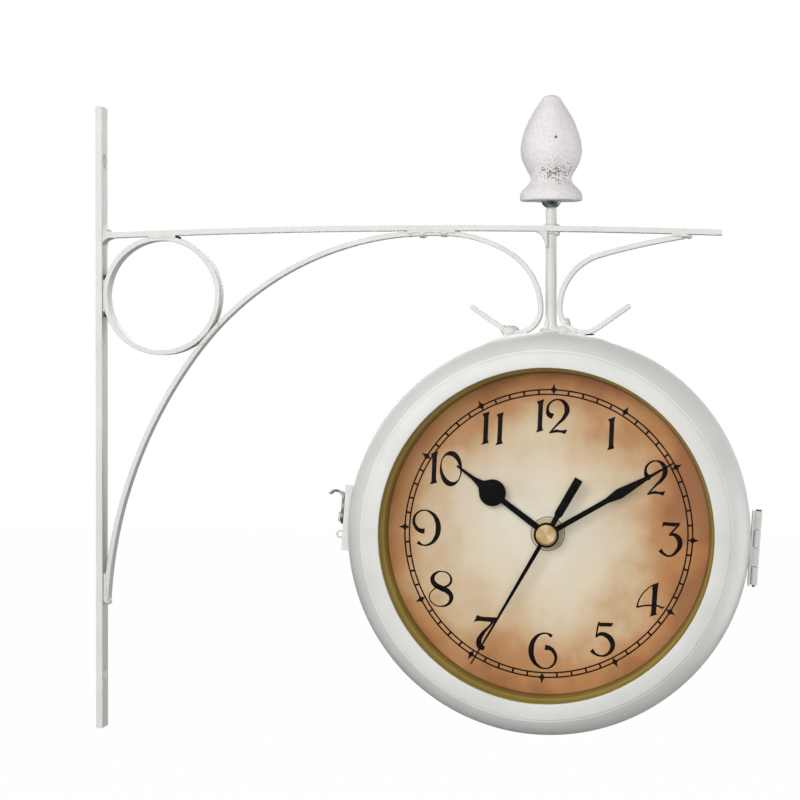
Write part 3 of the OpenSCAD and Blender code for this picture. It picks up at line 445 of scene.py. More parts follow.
def dull_steel():
    """Mild steel as it was pressed: grey metal, blurred by fine scratches and a little dark scale."""
    made, tree, shader, place = material("pressed_mild_steel", "#77787A", 0.4, Metallic=1.0)
    scale = node(tree, "TexNoise", {"Vector": place}, {"Scale": per_metre(2.4), "Detail": 4.0})
    tone = node(tree, "ValToRGB", {"Fac": scale.outputs["Fac"]},
                stops=[(0.35, "#585B5C"), (0.65, "#A0A4A5")])
    tree.links.new(tone.outputs["Color"], shader.inputs["Base Color"])
    # The scratches are finer than 0.1 mm and are drawn at 0.6 mm so that they show
    drawn = node(tree, "Mapping", {"Vector": place}, {"Scale": (1.0, 1.0, 0.1)})
    lines = node(tree, "TexNoise", {"Vector": drawn.outputs["Vector"]},
                 {"Scale": per_metre(0.6), "Detail": 2.0})
    relief = node(tree, "Bump", {"Height": lines.outputs["Fac"]}, {"Strength": 0.3, "Distance": 0.06 * MM})
    tree.links.new(relief.outputs["Normal"], shader.inputs["Normal"])
    return made


def gap_shade_black():
    """Near-black painted shade for the gaps at the ends of the welds: matt, with rust brown patches."""
    made, tree, shader, place = material("painted_gap_shade_black", "#1E1C1C", 0.8, Specular_IOR_Level=0.2)
    rust = node(tree, "TexNoise", {"Vector": place}, {"Scale": per_metre(1.2), "Detail": 3.0})
    tone = node(tree, "ValToRGB", {"Fac": rust.outputs["Fac"]}, stops=[(0.4, "#181818"), (0.7, "#3A2A22")])
    tree.links.new(tone.outputs["Color"], shader.inputs["Base Color"])
    relief = node(tree, "Bump", {"Height": rust.outputs["Fac"]}, {"Strength": 0.5, "Distance": 0.1 * MM})
    tree.links.new(relief.outputs["Normal"], shader.inputs["Normal"])
    return made


def clear_glass():
    """Thin float glass: it shows the dial as it is, under the faintest reflection."""
    made = bpy.data.materials.new("float_glass_clear")
    made.use_nodes = True
    tree = made.node_tree
    tree.nodes.clear()
    sight = node(tree, "BsdfTransparent", values={"Color": linear("#FBFDFC")})
    place = node(tree, "TexCoord").outputs["Object"]
    haze = node(tree, "TexNoise", {"Vector": place}, {"Scale": per_metre(40), "Detail": 2.0})
    blur = node(tree, "MapRange", {"Value": haze.outputs["Fac"]}, {"To Min": 0.01, "To Max": 0.05})
    sheen = node(tree, "BsdfGlossy", {"Roughness": blur.outputs["Result"]}, {"Color": (1, 1, 1, 1)})
    angle = node(tree, "Fresnel", values={"IOR": 1.12})
    # Only a ray that enters the pane is mirrored, so that its far skin doesn't darken a slanting view
    outside = node(tree, "Math", {1: node(tree, "NewGeometry").outputs["Backfacing"]}, {0: 1.0},
                   operation="SUBTRACT")
    mirror = node(tree, "Math", {0: angle.outputs["Fac"], 1: outside.outputs["Value"]},
                  operation="MULTIPLY")
    both = node(tree, "MixShader", {0: mirror.outputs["Value"], 1: sight.outputs[0], 2: sheen.outputs[0]})
    node(tree, "OutputMaterial", {"Surface": both.outputs[0]})
    return made


def off_axis(tree, place):
    """Distance of a point from the hands' axis, in metres, and its place seen along that axis."""
    flat = node(tree, "Mapping", {"Vector": place},
                {"Location": (-HANDS_AXIS.x, 0, -HANDS_AXIS.z), "Scale": (1, 0, 1)}).outputs["Vector"]
    return node(tree, "VectorMath", {0: flat}, operation="LENGTH").outputs["Value"], flat


def banded(tree, out, inner, outer, stops):
    """Colours that follow the distance from the hands' axis, between two radii."""
    share = node(tree, "MapRange", {"Value": out}, {"From Min": inner * MM, "From Max": outer * MM})
    return node(tree, "ValToRGB", {"Fac": share.outputs["Result"]}, stops=stops).outputs["Color"]


def gilt_paint():
    """Olive gold paint on a pressed ring: satin, with painted shade at its foot against the dial and a
    painted highlight along its middle.
    """
    made, tree, shader, place = material("gold_bronze_paint", "#9A9044", 0.42, Metallic=0.3)
    out = off_axis(tree, place)[0]
    # Painted shade and highlight: the ring turns dark brown at its foot, where it meets the dial, and
    # bright in a band along its middle
    painted_highlight_and_foot_shade = banded(tree, out, RING_FOOT_R, OPENING_R, [
        (0.0, "#3E3014"), (0.16, "#7E702C"), (0.4, "#9C913C"), (0.6, "#CBC07A"), (0.76, "#ACA04C"),
        (1.0, "#8F823A")])
    dust = node(tree, "TexNoise", {"Vector": place}, {"Scale": per_metre(3), "Detail": 3.0})
    tone = node(tree, "ValToRGB", {"Fac": dust.outputs["Fac"]}, stops=[(0.3, "#8D7C3A"), (0.7, "#A89A52")])
    both = node(tree, "Mix", {6: painted_highlight_and_foot_shade, 7: tone.outputs["Color"]}, {0: 0.25}, data_type="RGBA")
    tree.links.new(both.outputs[2], shader.inputs["Base Color"])
    relief = node(tree, "Bump", {"Height": dust.outputs["Fac"]}, {"Strength": 0.15, "Distance": 0.1 * MM})
    tree.links.new(relief.outputs["Normal"], shader.inputs["Normal"])
    return made


def aged_paper():
    """Matt card, grey-white at the back; printed cream in the middle and mottled tan towards the rim."""
    made, tree, shader, place = material("printed_card_aged_cream", "#D8C8AC", 0.7)
    flat = off_axis(tree, place)[1]
    # Painted light: the tan towards the rim is centred to the left of the axis, so that the left rim, which
    # the lamps leave in shade, is printed lighter
    shifted_for_painted_light = node(tree, "VectorMath", {0: flat}, {1: (-PAINTED_LIGHT_SHIFT_X * MM, 0, 0)}, operation="ADD")
    out = node(tree, "VectorMath", {0: shifted_for_painted_light.outputs["Vector"]}, operation="LENGTH").outputs["Value"]
    share = node(tree, "Math", {0: out}, {1: 1 / (OPENING_R * MM)}, operation="MULTIPLY")
    cloud = node(tree, "TexNoise", {"Vector": flat},
                 {"Scale": per_metre(34), "Detail": 4.0, "Roughness": 0.55})
    drift = node(tree, "MapRange", {"Value": cloud.outputs["Fac"]},
                 {"From Min": 0.25, "From Max": 0.75, "To Min": -0.2, "To Max": 0.2})
    edge = node(tree, "Math", {0: share.outputs["Value"], 1: drift.outputs["Result"]}, operation="ADD")
    print_tone = node(tree, "ValToRGB", {"Fac": edge.outputs["Value"]}, stops=[
        (0.15, "#FBEEE0"), (0.46, "#EFD9C3"), (0.64, "#DFBC98"), (0.79, "#C58A5C"), (0.89, "#B8743C"),
        (1.0, "#98521F")])
    patch = node(tree, "TexNoise", {"Vector": flat}, {"Scale": per_metre(13), "Detail": 5.0})
    warm = node(tree, "ValToRGB", {"Fac": patch.outputs["Fac"]},
                stops=[(0.35, "#DDC8A4"), (0.65, "#F0BA98")])
    stained = node(tree, "Mix", {6: print_tone.outputs["Color"], 7: warm.outputs["Color"]}, {0: 0.16},
                   data_type="RGBA")
    depth = node(tree, "SeparateXYZ", {"Vector": place}).outputs["Y"]
    height = node(tree, "Math", {0: depth}, operation="ABSOLUTE").outputs["Value"]
    printed = node(tree, "Math", {0: height}, {1: (DIAL_TOP - PRINT_DEPTH) * MM},
                   operation="GREATER_THAN").outputs["Value"]
    sides = node(tree, "Mix", {0: printed, 7: stained.outputs[2]}, {6: linear("#C9C2B4")},
                 data_type="RGBA")
    tree.links.new(sides.outputs[2], shader.inputs["Base Color"])
    fibre = node(tree, "TexNoise", {"Vector": place}, {"Scale": per_metre(0.8), "Detail": 2.0})
    relief = node(tree, "Bump", {"Height": fibre.outputs["Fac"]}, {"Strength": 0.08, "Distance": 0.05 * MM})
    tree.links.new(relief.outputs["Normal"], shader.inputs["Normal"])
    return made


def printing_ink():
    """Brown-black printing ink, a little thin in places."""
    made, tree, shader, place = material("printing_ink_brown_black", "#1C1416", 0.7,
                                         Specular_IOR_Level=0.05)
    thin = node(tree, "TexNoise", {"Vector": place}, {"Scale": per_metre(2.5), "Detail": 3.0})
    tone = node(tree, "ValToRGB", {"Fac": thin.outputs["Fac"]}, stops=[(0.4, "#1A1214"), (0.8, "#2B2123")])
    tree.links.new(tone.outputs["Color"], shader.inputs["Base Color"])
    return made


def moulded(name, dark, light, roughness):
    """Moulded plastic with a spark-eroded texture: an even satin skin with a fine grain."""
    made, tree, shader, place = material(name, dark, roughness)
    # The sparks leave a grain of about 0.1 mm, which is drawn at 0.7 mm so that it shows
    grain = node(tree, "TexNoise", {"Vector": place}, {"Scale": per_metre(0.7), "Detail": 2.0})
    tone = node(tree, "ValToRGB", {"Fac": grain.outputs["Fac"]}, stops=[(0.3, dark), (0.7, light)])
    tree.links.new(tone.outputs["Color"], shader.inputs["Base Color"])
    relief = node(tree, "Bump", {"Height": grain.outputs["Fac"]}, {"Strength": 0.25, "Distance": 0.05 * MM})
    tree.links.new(relief.outputs["Normal"], shader.inputs["Normal"])
    return made


def turned_brass():
    """Turned brass: warm satin metal with fine rings round its axis."""
    made, tree, shader, place = material("turned_brass", "#C9A063", 0.3, Metallic=1.0)
    flat = off_axis(tree, place)[1]
    # The tool's marks are about 0.1 mm apart and are drawn 0.69 mm apart so that they show
    rings = node(tree, "TexWave", {"Vector": flat},
                 {"Scale": waves_per_metre(0.69), "Distortion": 0.6, "Detail": 1.0},
                 wave_type="RINGS", rings_direction="SPHERICAL")
    relief = node(tree, "Bump", {"Height": rings.outputs["Fac"]}, {"Strength": 0.3, "Distance": 0.03 * MM})
    tree.links.new(relief.outputs["Normal"], shader.inputs["Normal"])
    tarnish = node(tree, "TexNoise", {"Vector": place}, {"Scale": per_metre(3), "Detail": 3.0})
    tone = node(tree, "ValToRGB", {"Fac": tarnish.outputs["Fac"]},
                stops=[(0.3, "#BF9257"), (0.7, "#D8B47A")])
    tree.links.new(tone.outputs["Color"], shader.inputs["Base Color"])
    return made


def spun_cap():
    """Cap of the hands: pale coppery metal, with the sheen of its fine spinning painted on as a fan of
    light and dark sectors.
    """
    made, tree, shader, place = material("spun_copper_alloy", "#A98A6A", 0.45, Metallic=0.6)
    flat = off_axis(tree, place)[1]
    upright = node(tree, "Mapping", {"Vector": flat}, {"Rotation": (QUARTER, 0, 0)}).outputs["Vector"]
    # Painted sheen: light and dark sectors round the axis stand in for the glint of the spun surface
    turn = node(tree, "TexGradient", {"Vector": upright}, gradient_type="RADIAL")
    painted_sheen_fan = node(tree, "ValToRGB", {"Fac": turn.outputs["Fac"]}, stops=[
        (0.0, "#CBA67C"), (0.1, "#AC8258"), (0.24, "#E0C49C"), (0.38, "#9E7448"), (0.5, "#D9BC92"),
        (0.62, "#EBD8B8"), (0.74, "#BA9064"), (0.88, "#A47C52"), (1.0, "#CBA67C")])
    wear = node(tree, "TexNoise", {"Vector": place}, {"Scale": per_metre(1.5), "Detail": 3.0})
    tone = node(tree, "Mix", {0: wear.outputs["Fac"], 6: painted_sheen_fan.outputs["Color"]}, {7: linear("#CCA678")},
                data_type="RGBA")
    tree.links.new(tone.outputs[2], shader.inputs["Base Color"])
    return made


def washer_lacquer():
    """Pale cream plating on the washer under the hands: satin, with painted shade and a painted highlight
    in rings at its embossed rim, and a painted shade line at its edge where it meets the dial.
    """
    made, tree, shader, place = material("plated_washer_pale", "#CDBB98", 0.5, Metallic=0.25)
    out = off_axis(tree, place)[0]
    # Painted shade and highlight: a dark and a bright ring at the embossed rim, and a dark ring at the
    # outer edge where the washer meets the dial
    painted_rim_shade_and_highlight = banded(tree, out, WASHER_IN, WASHER_OUT, [
        (0.0, "#CFBD9C"), (0.45, "#C9B792"), (0.55, "#8E8150"), (0.66, "#E2D8BC"), (0.84, "#D9CBA6"),
        (0.93, "#6E6236")])
    plating = node(tree, "TexNoise", {"Vector": place}, {"Scale": per_metre(1.4), "Detail": 3.0})
    dull = node(tree, "ValToRGB", {"Fac": plating.outputs["Fac"]},
                stops=[(0.3, "#C2B088"), (0.7, "#DDD0B2")])
    tone = node(tree, "Mix", {6: painted_rim_shade_and_highlight, 7: dull.outputs["Color"]}, {0: 0.2}, data_type="RGBA")
    tree.links.new(tone.outputs[2], shader.inputs["Base Color"])
    return made


def stoved_black():
    """Black stoving lacquer on thin sheet: almost flat, in a slightly uneven black."""
    made, tree, shader, place = material("stoving_lacquer_black", "#0A0808", 0.55,
                                         Specular_IOR_Level=0.04)
    bloom = node(tree, "TexNoise", {"Vector": place}, {"Scale": per_metre(6), "Detail": 2.0})
    tone = node(tree, "ValToRGB", {"Fac": bloom.outputs["Fac"]},
                stops=[(0.35, "#080606"), (0.7, "#100D0D")])
    tree.links.new(tone.outputs["Color"], shader.inputs["Base Color"])
    relief = node(tree, "Bump", {"Height": bloom.outputs["Fac"]}, {"Strength": 0.1, "Distance": 0.1 * MM})
    tree.links.new(relief.outputs["Normal"], shader.inputs["Normal"])
    return made


def cell_jacket():
    """Shrunk plastic jacket of a dry cell: plain glossy green, drawn a little unevenly."""
    made, tree, shader, place = material("shrink_film_green", "#3F6F4A", 0.28, Coat_Weight=0.3)
    film = node(tree, "TexNoise", {"Vector": place}, {"Scale": per_metre(9), "Detail": 2.0})
    tone = node(tree, "ValToRGB", {"Fac": film.outputs["Fac"]}, stops=[(0.3, "#3A6845"), (0.7, "#467B53")])
    tree.links.new(tone.outputs["Color"], shader.inputs["Base Color"])
    relief = node(tree, "Bump", {"Height": film.outputs["Fac"]}, {"Strength": 0.1, "Distance": 0.1 * MM})
    tree.links.new(relief.outputs["Normal"], shader.inputs["Normal"])
    return made


def solder_mask():
    """Circuit board: green solder mask over woven glass, with a faint weave."""
    made, tree, shader, place = material("solder_mask_green", "#2F6B45", 0.35)
    # The glass threads are about 0.6 mm apart and are drawn 1.58 mm apart so that they show
    weave = node(tree, "TexWave", {"Vector": place}, {"Scale": waves_per_metre(1.58), "Distortion": 1.0})
    tone = node(tree, "ValToRGB", {"Fac": weave.outputs["Fac"]}, stops=[(0.2, "#29603D"), (0.8, "#37774F")])
    tree.links.new(tone.outputs["Color"], shader.inputs["Base Color"])
    return made


def copper_winding():
    """Enamelled copper wire in close turns: orange-brown metal with fine ribs across the coil."""
    made, tree, shader, place = material("enamelled_copper_wire", "#B4683A", 0.35, Metallic=0.8)
    # The wire is 0.03 mm thick and is drawn at 0.79 mm so that the turns show
    turns = node(tree, "TexWave", {"Vector": place}, {"Scale": waves_per_metre(0.79)}, bands_direction="X")
    relief = node(tree, "Bump", {"Height": turns.outputs["Fac"]}, {"Strength": 0.5, "Distance": 0.1 * MM})
    tree.links.new(relief.outputs["Normal"], shader.inputs["Normal"])
    return made


ENAMEL = sprayed_enamel()
CAST = rough_cast_paint()
STEEL = dull_steel()
GAP_SHADE = gap_shade_black()
GLASS = clear_glass()
GILT = gilt_paint()
PAPER = aged_paper()
INK = printing_ink()
BLACK = moulded("moulded_abs_black", "#26272A", "#313236", 0.5)
WHITE = moulded("moulded_acetal_white", "#E3E0D7", "#ECEAE3", 0.4)
BRASS = turned_brass()
CAP = spun_cap()
WASHER = washer_lacquer()
LACQUER = stoved_black()
JACKET = cell_jacket()
BOARD = solder_mask()
WINDING = copper_winding()


# Bracket: flat bar, strap and round stem, their edges eased under thick paint
for part in ("wall_strip", "arm_bar", "brace_ring", "arch_brace", "right_scroll", "stem"):
    eased(part, 0.35, ENAMEL, "paint", segments=3)

# Welds: webs drawn in the bracket's plane as (x, z) outlines, and lumps; the widths are across the straps
STRAP_WELD = 8.8
BAR_WELD = 10.3
CROWN_WELD = 9.6
STEM_WELD = 5.6


def web(outline, deep=STRAP_WELD):
    """A web of weld metal across the straps."""
    obj, curve = new_curve("weld_web", "2D")
    curve.fill_mode = "BOTH"
    curve.extrude = deep * MM / 2
    plate(curve, outline, Matrix())
    return placed(as_mesh(obj), Matrix.Rotation(QUARTER, 4, "X"))


def seam(x, z, length, thick, lean=0, deep=STRAP_WELD):
    """A web along a joint, centred on it and leaning from level by an angle in degrees."""
    place = Matrix.Translation((x, z, 0)) @ Matrix.Rotation(math.radians(lean), 4, "Z")
    return web([(place @ Vector((length * i / 2, thick * j / 2, 0))).xy
                for i, j in ((-1, -1), (1, -1), (1, 1), (-1, 1))], deep)


def fillet(x, z, along, up, deep=STRAP_WELD):
    """A hollow corner weld with legs along and up, which may be negative."""
    hollow = []
    for i in range(FILLET_STEPS + 1):
        t = i / FILLET_STEPS
        full = FILLET_FULLNESS * t * (1 - t)
        hollow.append(((1 - t) ** 2 * along + full * along, t ** 2 * up + full * up))
    root_x, root_z = math.copysign(1, along), math.copysign(1, up)
    corners = [(-root_x, -root_z), (along, -root_z)] + hollow + [(-root_x, up)]
    return web([(x + a, z + b) for a, b in corners], deep)


def lumps(*sizes):
    """Round lumps of weld metal, each as (x, z, wide, high, deep)."""
    made = []
    for x, z, wide, high, deep in sizes:
        bpy.ops.mesh.primitive_uv_sphere_add(segments=24, ring_count=16, radius=0.5)
        size = Matrix.Diagonal((wide * MM, deep * MM, high * MM, 1))
        made.append(placed(bpy.context.active_object, Matrix.Translation((x * MM, 0, z * MM)) @ size))
    return made


def roughened(obj, *grains):
    """Roughens a piece by (size, height) grains in mm."""
    for size, height in grains:
        grain(obj, size, height)
    return smooth(obj, ROUGH_CREASE)


strip_welds = [fillet(3, 86.3, 4.6, 4.2, BAR_WELD), fillet(3, 83.8, 3.6, -3.4, BAR_WELD),
               seam(3.7, 57, 1.6, 15), seam(3.8, -79.5, 1.6, 13)]
strip_welds += lumps((4.4, 87, 3.4, 2.6, 10), (4.2, 63.6, 1.8, 2.6, 9), (4.2, 50.4, 1.8, 2.6, 9),
                     (4.6, -86.2, 3.4, 2.8, 9), (4.2, -73.6, 1.8, 3, 9))
ring_welds = [seam(31, 84.4, 13, 2.3, 0, BAR_WELD), seam(53.6, 38.7, 12, 1.9, 49.3)]
ring_welds += lumps((25, 84.4, 3, 2.2, 10), (48.8, 33.6, 2.4, 2.4, 9))
crown_welds = [seam(157, 86.1, 22, 1.4, 0, CROWN_WELD)]
crown_welds += lumps((147.5, 85.3, 5.4, 3, 9.8), (153, 84.9, 4.6, 3.4, 10), (163, 85.2, 6, 3.2, 10),
                     (168.2, 86, 3.4, 2, 9))
stem_welds = [fillet(209.6, 86, -4.8, -7.4), fillet(209.8, 39.3, -3.6, 8.4, STEM_WELD),
              fillet(214.2, 39.3, 2.4, 3.4, STEM_WELD)]
stem_welds += lumps((214.8, 85, 2.6, 2.4, 8.6), (212, 88.6, 8, 2.2, 7.6), (212, 85.6, 7.6, 2.6, 7.6),
                    (212, 39.6, 9, 3.2, 8.2), (209.2, 40.4, 4.4, 3, 8), (213.6, 42.4, 3, 2.4, 6.4))
scroll_welds = [seam(271, 83.9, 7, 1.6, -4, BAR_WELD), seam(196, 38.7, 11, 2, 4),
                seam(222, 38.8, 12, 2, -5)]
scroll_welds += lumps((271.6, 83.5, 4.4, 3, 10), (275, 83.5, 3, 2.6, 9.6), (193.2, 40.3, 8.4, 6, 11),
                      (190, 41.8, 3.6, 3.2, 9.6), (198.4, 39, 5, 3.6, 9.6), (218, 40.6, 7, 5.4, 11),
                      (219.2, 44, 3.6, 4.6, 9.6), (223.4, 39.4, 5, 3.4, 9.6))
all_welds = strip_welds + ring_welds + crown_welds + stem_welds + scroll_welds
welds = run_together("weld_beads_rough", all_welds, voxel=0.32, passes=4)
roughened(welds, (2.4, 0.6), (0.9, 0.15))
dressed(welds, ENAMEL, "paint", body_of("weld_beads"), "weld_beads")

# Dark lumps at the ends of the welds and under the right scroll: painted shade in the gaps between the
# parts
# Painted shade: each lump is put where a gap between straps, or between the scroll and the casing, lies in
# shade
pits = lumps((3.9, 66, 1.4, 2.2, 8), (3.9, 47.8, 1.4, 2.2, 8), (37.6, 84, 3.6, 1.3, 9.4),
             (58, 43.8, 1.9, 1.9, 8.6), (160, 86.2, 1.8, 0.9, 9.4), (214.2, 39.4, 2.6, 1.5, 8.6),
             (229, 38.7, 6.4, 0.7, 8.6))
pits = run_together("weld_gap_shade", pits, voxel=0.25, passes=1)
roughened(pits, (0.9, 0.2))
dressed(pits, GAP_SHADE, "bare_steel", body_of("weld_beads"))

# Finial: a turned body with the lumps and grain of a rough casting


def ease(start, end, share):
    """A smooth passage between two widths."""
    return start + (end - start) * (1 - math.cos(math.pi * max(share, 0))) / 2


def finial_radius(height):
    """Radius of the finial at a height above its base: foot, waist, bulb and taper."""
    if height < WAIST_Z:
        return ease(FOOT_D, WAIST_D, (height - LIP_Z) / (WAIST_Z - LIP_Z)) / 2
    if height < BULB_Z:
        return ease(WAIST_D, BULB_D, ((height - WAIST_Z) / (BULB_Z - WAIST_Z)) ** BULB_SWELL) / 2
    return (BULB_D - (BULB_D - TIP_D) * ((height - BULB_Z) / (TAPER_Z - BULB_Z)) ** TAPER_CURVE) / 2


heights = [LIP_Z / 2] + [LIP_Z + (TAPER_Z - LIP_Z) * i / PROFILE_STEPS for i in range(PROFILE_STEPS + 1)]
profile = [(0, 0), (FOOT_D / 6, 0), (FOOT_D / 3, 0), (FOOT_D / 2 - FOOT_EDGE, 0), (FOOT_D / 2, FOOT_EDGE)]
profile += [(finial_radius(height), height) for height in heights]
profile += [(TIP_D / 2 * math.cos(a), TAPER_Z + (FINIAL_H - TAPER_Z) * math.sin(a))
            for a in (math.radians(15 * i) for i in range(1, 6))] + [(0, FINIAL_H)]
finial = turned("finial_cast", profile, steps=128)
finial_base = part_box("finial")[0].z
placed(finial, Matrix.Translation((HANDS_AXIS.x, 0, finial_base)))
roughened(finial, (7, 0.4), (1.6, 0.14))
dressed(finial, CAST, "rough_paint", body_of("finial"), "finial")
eased("finial_collar", 0.2, STEEL, "bare_steel")


# Casing: two spun shells


def shell_section(seam):
    """Outer and inner line of one half of the casing, from its seam to the opening and back."""
    centre = (CASE_R - SHOULDER_R, BAND_TOP)
    face = []
    for i in range(FACE_STEPS + 1):
        radius = OPENING_R + (STEP_R - OPENING_R) * (1 - i / FACE_STEPS)
        height = FACE_LOW + (FACE_TOP - FACE_LOW) * i / FACE_STEPS
        face.append((radius, height + FACE_BULGE * math.sin(math.pi * i / FACE_STEPS)))
    outer = [(CASE_R, seam)] + arc(centre, SHOULDER_R, 0, SHOULDER_SWEEP, SHOULDER_STEPS)
    inner = arc(centre, SHOULDER_R - SHEET, SHOULDER_SWEEP, 0, SHOULDER_STEPS) + [(CASE_R - SHEET, seam)]
    lip = [(OPENING_R, LEDGE_TOP), (STEP_R - SHEET, LEDGE_TOP), (STEP_R - SHEET, LEDGE_TOP - SHEET)]
    return outer + [(STEP_R, LEDGE_TOP)] + face + lip + inner


front_shell = placed(turned("front_shell_spun", shell_section(SEAM + SEAM_GAP), edge=0.22), SIDES["front"])
dressed(front_shell, ENAMEL, "paint", body_of("front_shell"), "front_shell")

# The rear half ends in a lip ring that the front half closes over
rear_section = shell_section(-SEAM)
rear_section[-1:] = [
    (CASE_R - SHEET, LIP_ROOT - SEAM), (LIP_IN, LIP_ROOT - SEAM), (LIP_IN, -SEAM - LIP_DEPTH),
    (LIP_OUT, -SEAM - LIP_DEPTH), (LIP_OUT, -SEAM)]
rear_shell = placed(turned("rear_shell_spun", rear_section, edge=0.22), SIDES["rear"])
dressed(rear_shell, ENAMEL, "paint", body_of("rear_shell"), "rear_shell")

# Hinge and latch
for part in ("hinge_leaf_door", "hinge_leaf_case", "latch_plate_door", "latch_plate_case"):
    eased(part, 0.2, ENAMEL, "paint")
for part in ("hinge_pin", "latch_hook", "latch_rivet"):
    eased(part, 0.18, STEEL, "bare_steel")


# Numerals: pen strokes and closed loops as (x, y, width), and plates as outlines, all from the lower
# left of the figure
FIGURES = {
    "1": {
        "size": (0, 15.4),
        "plates": [
            [(-1.88, 14.1), (1.5, 15.4), (1.05, 13.3), (1.0, 2.6), (1.6, 1.1), (-1.88, 0),
             (-1.1, 1.6), (-1.1, 12.6)],
        ],
    },
    "2": {
        "size": (10.5, 15.9),
        "strokes": [
            [(3.2, 7.9, 2.6), (1.35, 8.7, 2.2), (0.6, 11.2, 1.2), (1.8, 14.1, 0.9), (5.2, 15.6, 0.7),
             (8.3, 14.1, 1.8), (9.4, 11.2, 2.4), (8.5, 8.1, 1.8), (5.4, 4.5, 1.0), (2.7, 1.35, 0.7),
             (1.8, 0.3, 0.5)],
        ],
        "plates": [
            [(2.7, 1.35), (4.9, 2.15), (7.2, 1.8), (9.95, 2.2), (8.95, 0.1), (7.2, 0.7), (4.9, 0.75),
             (2.0, 0.1)],
        ],
    },
    "3": {
        "size": (10.5, 16.05),
        "strokes": [
            [(8.9, 15.1, 1.0), (6.8, 12.7, 0.9), (4.65, 10.06, 0.8)],
            [(4.4, 9.8, 0.5), (6.5, 10.3, 1.6), (8.7, 8.7, 2.3), (9.5, 6.05, 2.3), (8.1, 2.8, 1.5),
             (5.2, 0.6, 0.8), (2.25, 1.5, 1.2), (0.65, 3.1, 2.0)],
        ],
        "plates": [
            [(1.45, 15.8), (9.6, 15.7), (6.8, 13.9), (2.25, 14.2), (1.07, 13.2)],
        ],
    },
    "4": {
        "size": (12.95, 15.8),
        "strokes": [
            [(6.8, 14.2, 0.5), (3.85, 11.5, 0.55), (1.6, 8, 0.6), (0.55, 4.5, 0.7)],
            [(0.3, 4.1, 0.9), (3.85, 4.9, 0.75), (7.06, 5.2, 0.75), (10, 5.1, 0.8), (11.9, 4.4, 0.9),
             (12.85, 5, 0.3)],
        ],
        "plates": [
            [(6.8, 14.45), (9.9, 15.8), (9.5, 12.6), (9.2, 2.4), (9.6, 1.2), (6.5, 0), (6.95, 2.1),
             (7.2, 12.0)],
        ],
    },
    "5": {
        "size": (11.1, 16.05),
        "strokes": [
            [(3.4, 15.8, 0.7), (2.95, 13.3, 0.8), (2.35, 9, 0.7)],
            [(2.25, 8.7, 0.5), (4.1, 10.3, 1.6), (7.05, 9.8, 2.2), (9.5, 7.4, 2.4), (9.85, 4.2, 2),
             (7.6, 1.2, 1.2), (4.9, 0.45, 0.8), (2.25, 1.25, 1.1), (0.5, 2.85, 1.9)],
        ],
        "plates": [
            [(3.15, 16.15), (3.85, 15.5), (9.85, 15.6), (9.2, 13.9), (3.7, 13.7)],
        ],
    },
    "7": {
        "size": (10.6, 16.05),
        "strokes": [
            [(9.8, 14.7, 1), (7.1, 11, 1), (4.2, 7.5, 1.7), (2.85, 4.3, 2.4), (3.4, 1.9, 2.6),
             (5.5, 1, 1.9)],
        ],
        "plates": [
            [(1.5, 16.05), (3.65, 15.4), (10.5, 15.4), (9.25, 13.1), (3.65, 13.4), (1.2, 13.2),
             (0, 12.3)],
        ],
    },
    "8": {
        "size": (11.1, 16.4),
        "loops": [
            [(5.7, 16.1, 0.5), (3.05, 15.35, 1), (1.35, 12.85, 1.9), (2.5, 10.2, 2.3),
             (5.45, 8.55, 2.4), (8.65, 7.1, 2.4), (10.3, 4.55, 2), (8.9, 1.35, 1.2),
             (5.45, 0.25, 0.6), (2, 1.35, 0.5), (0.3, 4.3, 0.5), (1.7, 7.35, 0.5), (4.65, 8.95, 0.7),
             (7.6, 9.25, 1), (9.85, 11.6, 1.1), (8.9, 14.8, 0.8)],
        ],
    },
    "9": {
        "size": (12.95, 16.5),
        "strokes": [
            [(2.7, 1.5, 1.7), (5.1, 0.35, 0.7), (8, 0.8, 1.0), (10.7, 3.4, 1.9), (11.9, 7.65, 2.5),
             (11, 12.2, 2.1), (8.6, 15.1, 1.3), (5.6, 16.2, 0.6), (2.1, 14.9, 0.9), (0.6, 11.4, 1.3),
             (1.6, 8.5, 1.6), (3.6, 6.9, 2.0), (5.7, 6.7, 2.5)],
        ],
    },
}
NOUGHT_OUT = (5.1, 8.05)
NOUGHT_IN = (3.95, 6.2)
NOUGHT_LEAN = 19.8

# The figures of the hours from 12 round to 11, each with its shift from the hour's own place
NUMERALS = [
    [("1", -5.6), ("2", 2.2)], [("1", 0)], [("2", 0)], [("3", 0)], [("4", 0)], [("5", 0)],
    [("6", 0)], [("7", 0)], [("8", 0)], [("9", 0)], [("1", -5.4), ("0", 2.2)],
    [("1", -3.2), ("1", 3.2)],
]


def pen(curve, points, place, closed=False):
    """Lays one pen stroke into a curve, swelling with its width."""
    spline = curve.splines.new("BEZIER")
    spline.bezier_points.add(len(points) - 1)
    for corner, (x, y, width) in zip(spline.bezier_points, points):
        corner.co = place @ Vector((x, y, 0)) * MM
        corner.radius = width / 2
        corner.handle_left_type = "AUTO"
        corner.handle_right_type = "AUTO"
    spline.use_cyclic_u = closed


def oval(size, lean, steps=48):
    """An ellipse of two half axes, leaning left by an angle."""
    turn = math.radians(lean)
    for i in range(steps):
        a = math.tau * i / steps
        x, y = size[0] * math.cos(a), size[1] * math.sin(a)
        yield (x * math.cos(turn) - y * math.sin(turn), x * math.sin(turn) + y * math.cos(turn))


